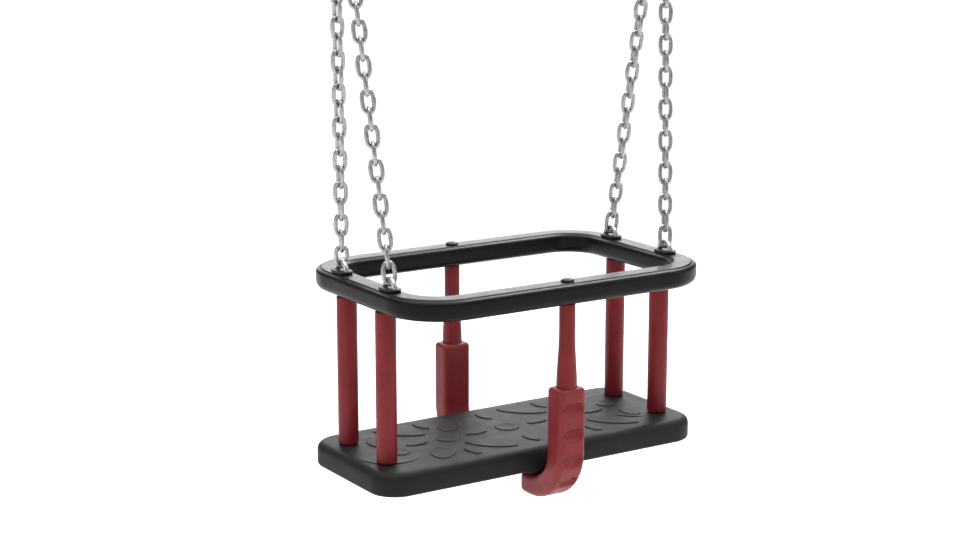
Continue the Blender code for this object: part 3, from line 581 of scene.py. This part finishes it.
def leaf(half_length, half_width, steps=14):
    """Leaf between two arcs, with slightly blunt tips; its halves are given in millimetres."""
    turns = [math.pi * i / steps for i in range(steps + 1)]
    upper = [(half_length * math.cos(a), half_width * math.sin(a) ** 1.25) for a in turns]
    points = upper + [(x, -y) for x, y in reversed(upper[1:-1])]
    return [(x * MM, y * MM) for x, y in points]


def ripple(centre, radius, start, end, steps=36, width=9.0, height=0.95):
    """Raised arc, in millimetres: steep outer edge, sloping away inwards, fading at both ends."""
    rings = []
    for i in range(steps + 1):
        share = i / steps
        a = math.radians(start + (end - start) * share)
        fade = math.sin(math.pi * min(max(share, 0.03), 0.97)) ** 0.6
        top = height * fade
        run = width * fade + 1.8
        edge = [(0, -1), (0, top - 0.5 * fade), (0.5, top), (1.6, top)]
        profile = [*edge, (run, 0.05 * fade), (run + 0.2, -1)]
        outward = Vector((math.cos(a), math.sin(a), 0))
        ring = []
        for inward, z in profile:
            spot = Vector((centre[0], centre[1], z)) + (radius - inward) * outward
            ring.append(spot * MM + Z * SEAT_TOP)
        rings.append(ring)
    return solid("ripple", [skin(rings)])


def seat_pattern():
    """Embossed ovals, studs, leaves and ripples of the seat's top, repeated under a half turn."""
    pads = []
    stud = ellipse(14.5, 14.5, 40)
    oval = ellipse(25, 14.5, 44)
    petal = ellipse(14, 6, 36)
    for sign in (-1, 1):
        pads.append(pad(oval, (54 * sign, -42 * sign), 56, RELIEF, 1.3, 0.9 * MM))
        pads.append(pad(oval, (113 * sign, 42 * sign), 56, RELIEF, 1.3, 0.9 * MM))
        pads.append(pad(leaf(31, 11), (51 * sign, 46 * sign), -43, RELIEF, 1.0))
        pads.append(pad(leaf(31, 11), (118 * sign, -46 * sign), -43, RELIEF, 1.0))
        pads.append(pad(stud, (82 * sign, 0), 0, RELIEF, 1.2, 0.6 * MM))
        pads.append(pad(petal, (42 * sign, 0), 0, RELIEF, 1.0))
        pads.append(pad(petal, (122 * sign, 0), 0, RELIEF, 1.0))
        for x, y in ((83, 56), (83, -56), (0, 50)):
            pads.append(pad(petal, (x * sign, y * sign), 100, RELIEF, 1.0))
        pads.append(pad(ellipse(12, 12, 36), (154 * sign, 17 * sign), 0, RELIEF, 1.0, 0.5 * MM))
        pads.append(pad(ellipse(17, 11, 36), (159 * sign, -25 * sign), 90, RELIEF, 1.0))
        turn = 180 if sign < 0 else 0
        pads.append(ripple((168 * sign, 16 * sign), 37, 350 - turn, 485 - turn))
        pads.append(ripple((168 * sign, -16 * sign), 35, 190 + turn, 262 + turn))
    pads.append(pad(stud, (0, 0), 0, RELIEF, 1.2, 0.6 * MM))
    return pads


def boss_profile():
    """Turned outline of a boss under the seat, flaring up from the hook's foot to the board."""
    low = SEAT_BOX[0][2]
    rise = SEAT_BOTTOM - low
    profile = [(0, low), (BOSS_RADIUS - 1 * MM, low)]
    for k in range(6):
        share = k / 5
        reach = BOSS_RADIUS + (BOSS_SPREAD - BOSS_RADIUS) * share
        profile.append((reach, low + 0.4 * MM + (rise - 0.4 * MM) * share))
    return profile


def make_seat():
    """Rubber seat board with rounded rims, embossed top, flared bosses and nut pockets."""
    rings = []
    levels = []
    for k in range(5):
        a = math.pi / 2 * k / 4
        height = SEAT_BOTTOM + SEAT_BOTTOM_ROUND * (1 - math.cos(a))
        levels.append((SEAT_BOTTOM_ROUND * (1 - math.sin(a)), height))
    for k in range(9):
        a = math.pi / 2 * k / 8
        height = SEAT_TOP - SEAT_TOP_ROUND * (1 - math.sin(a))
        levels.append((SEAT_TOP_ROUND * (1 - math.cos(a)), height))
    for inset, z in levels:
        half_x, half_y = SEAT_HALF[0] - inset, SEAT_HALF[1] - inset
        outline = rounded_rectangle(half_x, half_y, SEAT_CORNER - inset, 16)
        rings.append([Vector((x, y, z)) for x, y in outline])
    seat = solid("seat_board", [skin(rings)])
    combine(seat, seat_pattern(), "UNION")
    collars = []
    for sx in SIDES.values():
        for sy in ENDS.values():
            rim = 0.8 * MM
            edge = arc((COLLAR_RADIUS - rim, COLLAR_HEIGHT - rim), rim, 90, 0, 4)
            root = [(COLLAR_RADIUS + 0.4 * MM, -2 * MM), (0, -2 * MM)]
            spot = (sx * RAIL_X, sy * LONG_LEG_Y, SEAT_TOP)
            collars.append(turned("collar", [(0, COLLAR_HEIGHT), *edge, *root], spot))
    combine(seat, collars, "UNION")
    boss_low = SEAT_BOX[0][2]
    root = SEAT_BOTTOM + 2 * MM
    boss = [*boss_profile(), (BOSS_SPREAD, root), (0, root)]
    bosses = [turned("boss", boss, (0, sy * HOOK_SCREW_Y, 0)) for sy in ENDS.values()]
    combine(seat, bosses, "UNION")
    core_low, core_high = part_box("seat_core")
    half_x = core_high[0] + GAP
    half_y = core_high[1] + GAP
    outline = rounded_rectangle(half_x, half_y, SEAT_CORE_CORNER, 6)
    heights = (core_low[2] - GAP, core_high[2] + GAP)
    cavity = solid("tool", [skin([[Vector((x, y, z)) for x, y in outline] for z in heights])])
    holes = []
    pockets = []
    for sx in SIDES.values():
        for sy in ENDS.values():
            spot = (sx * RAIL_X, sy * LONG_LEG_Y, (SEAT_TOP + SEAT_BOTTOM) / 2)
            holes.append(drum(BOLT_HOLE, 2 * SEAT_THICK, spot))
            mouth = (spot[0], spot[1], SEAT_BOTTOM)
            pockets.append(drum(SEAT_NUT_POCKET[0], 2 * SEAT_NUT_POCKET[1], mouth))
    for sy in ENDS.values():
        high = (core_low[2] + core_high[2]) / 2
        low = boss_low - 2 * MM
        holes.append(drum(SCREW_HOLE, high - low, (0, sy * HOOK_SCREW_Y, (high + low) / 2)))
    combine(seat, [cavity])
    combine(seat, holes)
    combine(seat, pockets)
    ride(dress(seat, SEAT_RUBBER, 32), "seat", "rubber", "seat_cover")


# ---------------------------------------------------------------- posts and hooks


def make_posts():
    """Red corner tubes and the centre posts that widen towards the hooks."""
    for side, end in CORNERS:
        node = f"corner_post_{side}_{end}"
        low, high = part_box(node)
        r = CORNER_POST_RADIUS
        rim = 1.4 * MM
        shoulder = [(r - rim + x, high[2] - rim + z) for x, z in arc((0, 0), rim, 90, 0, 5)]
        foot = [(r - rim + x, low[2] + rim + z) for x, z in arc((0, 0), rim, 0, -90, 5)]
        profile = [(POST_BORE, high[2]), *shoulder, *foot, (POST_BORE, low[2])]
        centre = ((low[0] + high[0]) / 2, (low[1] + high[1]) / 2, 0)
        post = turned(f"post_{side}_{end}", profile, centre, closed=True, look=PLASTIC)
        ride(post, "seat", "red_plastic", node)
    for end, sy in ENDS.items():
        node = f"centre_post_{end}"
        low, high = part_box(node)
        narrow, wide = CENTRE_POST_RADII
        rim = 1.2 * MM
        profile = [(POST_BORE, high[2])]
        profile += [(narrow - rim + x, high[2] - rim + z) for x, z in arc((0, 0), rim, 90, 0, 4)]
        start = high[2] + (HOOK_TOP - high[2]) * 0.35
        for k in range(17):
            share = k / 16
            ease = share * share * (3 - 2 * share)
            profile.append((narrow + (wide - narrow) * ease, start + (HOOK_TOP - start) * share))
        profile += [(wide, low[2]), (POST_BORE, low[2])]
        post = turned(f"slim_post_{end}", profile, (0, sy * RAIL_Y, 0), closed=True, look=PLASTIC)
        ride(post, "seat", "red_plastic", node)


def hook_path():
    """Stations down the front hook's outer face: (point, outward, depth, distance, inset)."""
    bend = HOOK_OUTER_BEND
    bend_spot = Vector((0, -RAIL_Y - HOOK_DEPTH / 2 + bend, HOOK_LOW + bend))
    shaft = HOOK_TOP - bend_spot.z
    curve = bend * math.pi / 2
    total = shaft + curve - HOOK_END_Y - bend_spot.y
    top_round = 5 * MM
    end_round = 9 * MM
    stops = []
    for k in range(7):
        a = math.pi / 2 * k / 6
        stops.append((top_round * (1 - math.cos(a)), top_round * (1 - math.sin(a))))
    plain = total - top_round - end_round
    count = round(plain / HOOK_STEP)
    stops += [(top_round + plain * k / count, 0) for k in range(1, count)]
    for k in range(9):
        a = math.pi / 2 * k / 8
        stops.append((total - end_round * (1 - math.sin(a)), end_round * (1 - math.cos(a))))
    stations = []
    for s, inset in stops:
        share = min(max((s - shaft) / curve, 0), 1)
        a = share * math.pi / 2
        outward = Vector((0, -math.cos(a), -math.sin(a)))
        point = bend_spot + outward * bend
        point.z += max(shaft - s, 0)
        point.y += max(s - shaft - curve, 0)
        depth = HOOK_DEPTH + (HOOK_FOOT_DEPTH - HOOK_DEPTH) * share
        stations.append((point, outward, depth, s, inset))
    return stations


def hook_section(depth, inset):
    """Rounded rectangle of the hook, with close points along its outer face."""
    half_x = HOOK_WIDTH / 2 - inset
    half_out = depth / 2 - inset
    radius = max(HOOK_ROUND - inset, 0.5 * MM)
    corner_x, corner_out = half_x - radius, half_out - radius
    points = []
    sides = (
        (0, 1, 1, 20, (-corner_x, half_out)),
        (90, -1, 1, 5, (-half_x, -corner_out)),
        (180, -1, -1, 5, (corner_x, -half_out)),
        (270, 1, -1, 5, (half_x, corner_out)),
    )
    for start, sx, sy, fill, there in sides:
        points += arc((sx * corner_x, sy * corner_out), radius, start, start + 90, 9)
        here = points[-1]
        across, along = there[0] - here[0], there[1] - here[1]
        for k in range(1, fill):
            points.append((here[0] + across * k / fill, here[1] + along * k / fill))
    return points


def grip_dent(across, s):
    """Depth of the finger dishes: steep under each upper edge, running out gently below."""
    deepest = 0.0
    for i in range(GRIPS):
        u = abs(across) / GRIP_HALF[0]
        v = (s - GRIP_DROP - i * GRIP_PITCH) / GRIP_HALF[1]
        away = (u**3.4 + abs(v) ** 2.6) ** 0.5
        share = min(max((1.1 - away) * (1.7 if v < 0 else 1.15), 0), 1)
        deepest = max(deepest, share * share * (3 - 2 * share) * (1 - 0.28 * v))
    return GRIP_DEPTH * deepest


def make_hooks():
    """J-shaped hooks with finger dishes, sockets for the posts and bores for their fasteners."""
    for end, sy in ENDS.items():
        rings = []
        for point, outward, depth, s, inset in hook_path():
            middle = point - outward * depth / 2
            ring = []
            for across, out in hook_section(depth, inset):
                dent = grip_dent(across, s) if out > 0 else 0
                ring.append(middle + X * across + outward * (out - dent))
            rings.append(ring)
        hook = solid("hook", [skin(rings)])
        boss = [(reach + 0.5 * MM, z - GAP) for reach, z in boss_profile()[1:-1]]
        top = (0, SEAT_BOTTOM + 1 * MM)
        boss = [(0, boss[0][1]), *boss, (boss[-1][0], top[1]), top]
        combine(hook, [turned("tool", boss, (0, -HOOK_SCREW_Y, 0))])
        socket = CENTRE_POST_RADII[1] + GAP
        combine(hook, [drum(socket, 2 * SOCKET_DEPTH, (0, -RAIL_Y, HOOK_TOP), segments=48)])
        hole, deep = INSERT_HOLE
        combine(hook, [drum(hole, 2 * deep, (0, -RAIL_Y, HOOK_TOP - SOCKET_DEPTH))])
        middle = (0, -HOOK_SCREW_Y, HOOK_LOW + HOOK_DEPTH)
        combine(hook, [drum(SCREW_HOLE, 2 * HOOK_DEPTH, middle)])
        hole, deep = SCREW_HEAD_HOLE
        combine(hook, [drum(hole, 2 * deep, (0, -HOOK_SCREW_Y, HOOK_LOW))])
        if sy > 0:
            hook.data.transform(Matrix.Rotation(math.pi, 4, "Z"))
        hook.name = f"grip_hook_{end}"
        ride(dress(hook, GRIP_PLASTIC, 45), "seat", "red_plastic", f"hook_{end}")


def make_hook_fasteners():
    """Domed centre bolts on the ring and socket screws under the hooks."""
    for end, sy in ENDS.items():
        node = f"centre_bolt_{end}"
        low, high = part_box(node)
        r = DOME_RADIUS
        base = high[2] - DOME_HEIGHT
        rise = DOME_HEIGHT - 0.8 * MM
        turns = [math.pi / 2 * k / 10 for k in range(11)]
        dome = [(r * math.sin(a), base + 0.8 * MM + rise * math.cos(a)) for a in turns]
        neck = [(r, base + 0.3 * MM), (r - 0.3 * MM, base), (3 * MM, base)]
        tip = [(3 * MM, low[2] + 0.5 * MM), (2.5 * MM, low[2]), (0, low[2])]
        profile = [*dome, *neck, *tip]
        bolt = turned(f"dome_bolt_{end}", profile, (0, sy * RAIL_Y, 0), look=BLACK)
        ride(bolt, "seat", "black_steel", node)
        node = f"hook_screw_{end}"
        low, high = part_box(node)
        head = 5 * MM
        profile = [
            (0, high[2]),
            (3.5 * MM, high[2]),
            (4 * MM, high[2] - 0.5 * MM),
            (4 * MM, low[2] + head),
            (8 * MM, low[2] + head),
            (8 * MM, low[2] + 1.5 * MM),
            (7.2 * MM, low[2] + 0.4 * MM),
            (6 * MM, low[2]),
            (0, low[2]),
        ]
        screw = turned("screw", profile, (0, sy * HOOK_SCREW_Y, 0))
        combine(screw, [drum(3.4 * MM, 5 * MM, (0, sy * HOOK_SCREW_Y, low[2]), segments=6)])
        screw.name = f"socket_screw_{end}"
        ride(dress(screw, BLACK, 30), "seat", "black_steel", node)


# ---------------------------------------------------------------- staples


def staple_path(sx, sy, long_end, short_end):
    """Points of a U-bolt's centreline, with short steps near its threaded ends."""
    half = STAPLE_SPREAD / 2
    spring = STAPLE_Z - half
    arch = [(y, spring + z) for y, z in arc((0, 0), half, 180, 0, 24)]
    flat = [(-half, long_end), *arch, (half, short_end)]
    return [Vector((sx * RAIL_X, sy * (STAPLE_Y + y), z)) for y, z in flat]


def threaded(points, radii, steps=16):
    """Add thread ridges to a bar's two ends: the path and radii with the extra stations."""
    pitch = 1 * MM
    out_points, out_radii = list(points), list(radii)
    for first in (True, False):
        tip = points[0] if first else points[-1]
        inward = ((points[1] - points[0]) if first else (points[-2] - points[-1])).normalized()
        ends = [(tip, radii[0] - 0.6 * MM)]
        for k in range(steps):
            groove = 0.35 * MM if k % 2 else 0
            ends.append((tip + inward * (0.8 * MM + k * pitch / 2), radii[0] - groove))
        if first:
            out_points = [p for p, _ in ends] + out_points[1:]
            out_radii = [r for _, r in ends] + out_radii[1:]
        else:
            out_points = out_points[:-1] + [p for p, _ in reversed(ends)]
            out_radii = out_radii[:-1] + [r for _, r in reversed(ends)]
    return out_points, out_radii


def make_staples():
    """Bent bars with threaded ends, and the oval plates that they stand on."""
    for side, end in CORNERS:
        sx, sy = SIDES[side], ENDS[end]
        points = staple_path(sx, sy, SEAT_BOTTOM + 1 * MM, RING_BOTTOM + 1 * MM)
        points, radii = threaded(points, [STAPLE_WIRE / 2] * len(points))
        bar = solid(f"loop_{side}_{end}", [tube(points, X, radii, segments=24)], ZINC, 35)
        ride(bar, "seat", "zinc_steel", f"u_bolt_{side}_{end}")
        node = f"base_plate_{side}_{end}"
        low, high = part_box(node)
        centre = ((low[0] + high[0]) / 2, (low[1] + high[1]) / 2, 0)
        half_x, half_y = (high[0] - low[0]) / 2, (high[1] - low[1]) / 2
        outline = rounded_rectangle(half_x, half_y, half_x - 0.01 * MM, 12)
        plate = solid("plate", [prism(outline, low[2], high[2], centre=centre, rim=0.9 * MM)])
        for dy in (-1, 1):
            spot = (centre[0], centre[1] + dy * STAPLE_SPREAD / 2, (low[2] + high[2]) / 2)
            combine(plate, [drum(M6_BORE, 10 * MM, spot)])
        plate.name = f"oval_plate_{side}_{end}"
        ride(dress(plate, BLACK, 35), "seat", "black_steel", node)


def hex_nut(name, node, axis, bore, body):
    """Hexagon nut in its node's box, with rounded corners and a plain bore."""
    low, high = (Vector(corner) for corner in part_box(node))
    centre = (low + high) / 2
    index = "XYZ".index(axis)
    length = high[index] - low[index]
    wide = max(high[i] - low[i] for i in range(3) if i != index) / 2
    first = {"X": 1, "Y": 2, "Z": 0}[axis]
    start = 0 if high[first] - low[first] > 1.9 * wide else 30
    flats = wide * math.cos(math.pi / 6)
    sides = 48
    outline = []
    for i in range(sides):
        a = math.radians(start + 360 * i / sides)
        local = (math.degrees(a) - start + 30) % 60 - 30
        reach = min(flats / math.cos(math.radians(30 - abs(local))), wide * 0.985)
        outline.append((reach * math.cos(a), reach * math.sin(a)))
    rings = []
    chamfer = 0.11 * flats
    half = length / 2
    for inset, height in ((1, -half), (0, chamfer - half), (0, half - chamfer), (1, half)):
        ring = []
        for u, v in outline:
            reach = math.hypot(u, v)
            limit = min(reach, flats * (0.99 if inset else 2))
            lift = 0.0 if inset else (wide - reach) * 0.45 * (-1 if height < 0 else 1)
            u, v = u / reach * limit, v / reach * limit
            w = height + lift * 0.8
            spot = {"X": (w, u, v), "Y": (v, w, u), "Z": (u, v, w)}[axis]
            ring.append(centre + Vector(spot))
        rings.append(ring)
    nut = solid(name, [skin(rings)])
    combine(nut, [drum(bore, 2 * length, centre, axis)])
    ride(dress(nut, ZINC, 25), body, "zinc_steel", node)


def make_nuts():
    """Nuts of the staples, axles and shackles."""
    for side, end in CORNERS:
        for place in ("seat", "ring"):
            name = f"nut_under_{place}_{side}_{end}"
            hex_nut(name, f"{place}_nut_{side}_{end}", "Z", M6_BORE, "seat")
    for side in SIDES:
        hex_nut(f"axle_nut_{side}", f"hanger_nut_{side}", "X", AXLE_NUT_BORE, "hangers")
        hex_nut(f"pin_nut_{side}", f"shackle_nut_{side}", "Y", M6_BORE, f"{side}_eye")


# ---------------------------------------------------------------- chains


def twist_at(side, end, index):
    """Turn of one link about its chain, in degrees: each chain hangs with a slight twist."""
    stops = CHAIN_TWISTS[f"{side}_{end}"]
    for (first, low), (last, high) in zip(stops, stops[1:]):
        if index <= last:
            return low + (high - low) * (index - first) / (last - first)
    return stops[-1][1]


def link_shell(index, twist, dice, play):
    """Shell of one oval link along local -Z, with a weld's bulge and its top raised by the play."""
    steps = 52
    half_width = (CHAIN_WIDTH - CHAIN_WIRE) / 2
    half_length = (CHAIN_PITCH + CHAIN_WIRE) / 2 + 0.05 * MM
    height = CHAIN_WIDTH / 2 - CAD_WIRE - CHAIN_PITCH * (index + 0.5)
    angle = math.radians(90 * (index % 2) + twist + dice.uniform(-2.5, 2.5))
    across = Vector((math.cos(angle), math.sin(angle), 0))
    weld = 0 if dice.random() < 0.5 else steps // 2
    path = []
    radii = []
    for i in range(steps):
        a = 2 * math.pi * i / steps
        u = math.copysign(abs(math.cos(a)) ** 0.76, math.cos(a)) * half_width
        v = math.copysign(abs(math.sin(a)) ** 0.76, math.sin(a)) * half_length
        path.append(Z * (height + v + (play if v > 0 else 0)) + across * u)
        away = min(abs(i - weld), steps - abs(i - weld))
        radii.append(CHAIN_WIRE / 2 * (1 + 0.09 * math.exp(-(away**2) / 2.4)))
    return tube(path, Z.cross(across), radii, closed=True)


def make_chains():
    """Four chains of separate links; the lowest link of each rides with the staple it hangs on."""
    dice = random.Random(41)
    for side, end in CORNERS:
        sx, sy = SIDES[side], ENDS[end]
        top = Vector((sx * HANGER_X, sy * CHAIN_TOP_Y, PIN_Z))
        foot = Vector((sx * RAIL_X, sy * STAPLE_Y, STAPLE_Z))
        up = (top - foot).normalized()
        across = (Y - up * up.y).normalized()
        place = Matrix((across.cross(up), across, up)).transposed()
        shells = []
        for index in range(CHAIN_LINKS):
            play = PIVOT_PLAY if side == "right" and index == CHAIN_LINKS - 1 else 0
            points, faces = link_shell(index, twist_at(side, end, index), dice, play)
            shells.append(([top + place @ p for p in points], faces))
        run = solid(f"chain_links_{side}_{end}", shells[:-1], CHAIN, 60)
        ride(run, f"{side}_chains", "galvanised_chain", f"chain_{side}_{end}")
        last = solid(f"lowest_link_{side}_{end}", shells[-1:], CHAIN, 60)
        body = "left_chains" if side == "left" else "right_end_links"
        ride(last, body, "galvanised_chain", f"end_link_{side}_{end}")


# ---------------------------------------------------------------- hangers and shackles


def make_brackets():
    """Top plates with countersunk holes, and cheeks with weld beads, that hold the axles."""
    dice = random.Random(7)
    for side, sx in SIDES.items():
        node = f"hanger_bracket_{side}"
        x = sx * HANGER_X
        outline = rounded_rectangle(PLATE_SIZE[0] / 2, PLATE_SIZE[1] / 2, PLATE_CORNER, 8)
        plate = prism(outline, -PLATE_THICK, 0, centre=(x, 0, 0), rim=0.8 * MM)
        bracket = solid("bracket", [plate])
        cheeks = []
        for s in (-1, 1):
            root = -PLATE_THICK / 2
            tongue = [(CHEEK_HALF_WIDTH, root), (-CHEEK_HALF_WIDTH, root)]
            tongue += arc((0, AXLE_Z), CHEEK_ROUND, 165, 375, 24)
            middle = x + s * CHEEK_X
            flat = [(u, v + 20 * MM) for u, v in tongue]
            half = CHEEK_THICK / 2
            shell = prism(flat, -half, half, "X", (middle, 0, -20 * MM), 0.6 * MM)
            cheeks.append(solid("cheek", [shell]))
            for face in (-1, 1):
                bead = []
                radii = []
                for k in range(33):
                    y = (-17 + 34 * k / 32) * MM
                    bead.append(Vector((middle + face * 2.6 * MM, y, -PLATE_THICK - 0.2 * MM)))
                    wave = 0.45 * math.sin(k * 1.9) + dice.uniform(-0.15, 0.15)
                    radii.append((1.5 + wave) * MM)
                radii[0] = radii[-1] = 0.6 * MM
                cheeks.append(solid("bead", [tube(bead, Z, radii, segments=12)]))
        combine(bracket, cheeks, "UNION")
        holes = [drum(AXLE_HOLE, 60 * MM, (x, 0, AXLE_Z), "X")]
        for hx in (-1, 1):
            for hy in (-1, 1):
                spot = (x + hx * PLATE_HOLES[0], hy * PLATE_HOLES[1], 0)
                sink = [(4.5 * MM, 5 * MM), (4.5 * MM, -4 * MM), (7.5 * MM, -7 * MM)]
                holes.append(turned("tool", sink, spot, segments=32))
        combine(bracket, holes)
        bracket.name = f"bracket_{side}"
        ride(dress(bracket, ZINC, 30), "hangers", "zinc_steel", node)


def make_axles():
    """Axle bolts with chamfered hexagon heads."""
    for side, sx in SIDES.items():
        node = f"hanger_axle_{side}"
        low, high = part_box(node)
        grip = sx * HANGER_X - AXLE_GRIP
        head = grip - low[0]
        root = grip - 1 * MM
        tip = high[0] - 1 * MM
        r = AXLE_RADIUS
        shank = [(0, high[0]), (r - 0.8 * MM, high[0]), (r, tip), (r, root), (0, root)]
        bolt = turned("bolt", shank, (0, 0, AXLE_Z), "X", 32)
        wide = AXLE_HEX / 2 / math.cos(math.pi / 6)
        turns = [math.pi / 3 * k for k in range(6)]
        flats = [(wide * math.cos(a), wide * math.sin(a)) for a in turns]
        crown = solid("head", [prism(flats, low[0], low[0] + head, "X", (0, 0, AXLE_Z), 0.8 * MM)])
        combine(bolt, [crown], "UNION")
        bolt.name = f"axle_bolt_{side}"
        ride(dress(bolt, ZINC, 30), "hangers", "zinc_steel", node)


def sleeve_profile(bore, outer, half, rim):
    """Closed outline of a sleeve with chamfered outer rims."""
    upper = [(bore, half), (outer - rim, half), (outer, half - rim)]
    return upper + [(radius, -height) for radius, height in reversed(upper)]


def make_eyes():
    """Barrels that turn on nylon bushes, each with a forged loop below."""
    for side, sx in SIDES.items():
        x = sx * HANGER_X
        sleeve = sleeve_profile(*BARREL, 1 * MM)
        barrel = turned("barrel", sleeve, (x, 0, AXLE_Z), "X", 64, closed=True)
        centre_z = AXLE_Z - EYE_DROP
        turn = arc((0, 0), EYE_RADIUS, 0, 360, 64)[:-1]
        loop = [Vector((x + u, 0, centre_z + v)) for u, v in turn]
        ring = solid("loop", [tube(loop, Y, EYE_WIRE, closed=True, segments=24)])
        combine(ring, [drum(*BARREL_CLEARANCE, (x, 0, AXLE_Z), "X", 64)])
        combine(barrel, [ring], "UNION")
        barrel.name = f"swing_eye_{side}"
        ride(dress(barrel, ZINC, 40), f"{side}_eye", "zinc_steel", f"hanger_eye_{side}")
        sleeve = sleeve_profile(*BUSH, 0.6 * MM)
        bush = turned(f"bush_{side}", sleeve, (x, 0, AXLE_Z), "X", 48, closed=True, look=NYLON)
        ride(bush, f"{side}_eye", "nylon", f"hanger_bush_{side}")


def make_shackles():
    """Bows with round ears, and the pins that carry two chains each."""
    for side, sx in SIDES.items():
        x = sx * HANGER_X
        node = f"shackle_bow_{side}"
        low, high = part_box(node)
        half = SHACKLE_HALF
        arch = arc((0, high[2] - SHACKLE_WIRE - half), half, 0, 180, 32)
        path = [(half, PIN_Z + 4 * MM), *arch, (-half, PIN_Z + 4 * MM)]
        line = [Vector((x, u, v)) for u, v in path]
        bow = solid("bow", [tube(line, X, SHACKLE_WIRE, segments=24)])
        ears = []
        for sy in (-1, 1):
            disc = sleeve_profile(0, *SHACKLE_EAR, 0.8 * MM)
            ears.append(turned("ear", disc, (x, sy * half, PIN_Z), "Y", 40))
        combine(bow, ears, "UNION")
        combine(bow, [drum(M6_BORE, 60 * MM, (x, 0, PIN_Z), "Y")])
        bow.name = f"bow_{side}"
        ride(dress(bow, ZINC, 40), f"{side}_eye", "zinc_steel", node)
        low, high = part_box(f"shackle_pin_{side}")
        neck = high[1] - 4 * MM
        profile = [
            (0, high[1]),
            (4.2 * MM, high[1]),
            (5.2 * MM, high[1] - 0.6 * MM),
            (5.5 * MM, high[1] - 1.5 * MM),
            (5.5 * MM, neck),
            (3 * MM, neck),
            (3 * MM, low[1] + 0.6 * MM),
            (2.4 * MM, low[1]),
            (0, low[1]),
        ]
        pin = turned(f"pin_{side}", profile, (x, 0, PIN_Z), "Y", 32, look=ZINC)
        ride(pin, f"{side}_eye", "zinc_steel", f"shackle_pin_{side}")


def dress_cad():
    """Procedural finishes on the CAD nodes that stay: the cores and the threaded inserts."""
    for name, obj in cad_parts.items():
        if name.endswith("_core"):
            obj.material_slots[0].material = CORE
        elif name.startswith("hook_insert"):
            obj.material_slots[0].material = BRASS


# ---------------------------------------------------------------- floor, lights and camera


def make_stage():
    """Pale floor, soft lights and a near-white surround."""
    f = Finish("pale_floor", 0.9, specular=0.1)
    tones = [(0.3, (0.78, 0.78, 0.78)), (0.7, (0.81, 0.81, 0.81))]
    f.connect(f.ramp(f.noise(0.8, 2), tones), "Base Color")
    bm = bmesh.new()
    bmesh.ops.create_grid(bm, x_segments=4, y_segments=4, size=14)
    mesh = bpy.data.meshes.new("floor")
    bm.to_mesh(mesh)
    bm.free()
    floor = bpy.data.objects.new("floor", mesh)
    floor.location = (0, 0, FLOOR_Z)
    bpy.context.scene.collection.objects.link(floor)
    mesh.materials.append(f.material)

    world = bpy.data.worlds.new("surround")
    bpy.context.scene.world = world
    world.use_nodes = True
    back = world.node_tree.nodes["Background"]
    back.inputs["Color"].default_value = SURROUND
    back.inputs["Strength"].default_value = SURROUND_STRENGTH

    sun = bpy.data.lights.new("ceiling", "SUN")
    sun.energy = CEILING_STRENGTH
    sun.angle = math.radians(CEILING_SPREAD)
    bpy.context.scene.collection.objects.link(bpy.data.objects.new("ceiling", sun))
    for name, spot, size, power in LIGHTS:
        lamp = bpy.data.lights.new(name, "AREA")
        lamp.size = size
        lamp.energy = power
        obj = bpy.data.objects.new(name, lamp)
        obj.location = spot
        aim = LIGHT_TARGET - Vector(spot)
        obj.rotation_euler = aim.to_track_quat("-Z", "Y").to_euler()
        bpy.context.scene.collection.objects.link(obj)
    bpy.context.scene.view_settings.view_transform = "Standard"


def make_camera():
    """Camera in front, to the left and a little above the seat."""
    data = bpy.data.cameras.new("camera")
    data.lens = CAMERA_LENS
    data.sensor_width = CAMERA_SENSOR
    data.clip_end = 100
    camera = bpy.data.objects.new("camera", data)
    camera.location = CAMERA_PLACE
    up = CAMERA_RIGHT.cross(CAMERA_AHEAD)
    turn = Matrix((CAMERA_RIGHT, up, -CAMERA_AHEAD)).transposed()
    camera.rotation_euler = turn.to_euler()
    bpy.context.scene.collection.objects.link(camera)
    bpy.context.scene.camera = camera


make_camera()
make_stage()
make_ring()
make_seat()
make_posts()
make_hooks()
make_hook_fasteners()
make_staples()
make_nuts()
make_chains()
make_brackets()
make_axles()
make_eyes()
make_shackles()
dress_cad()
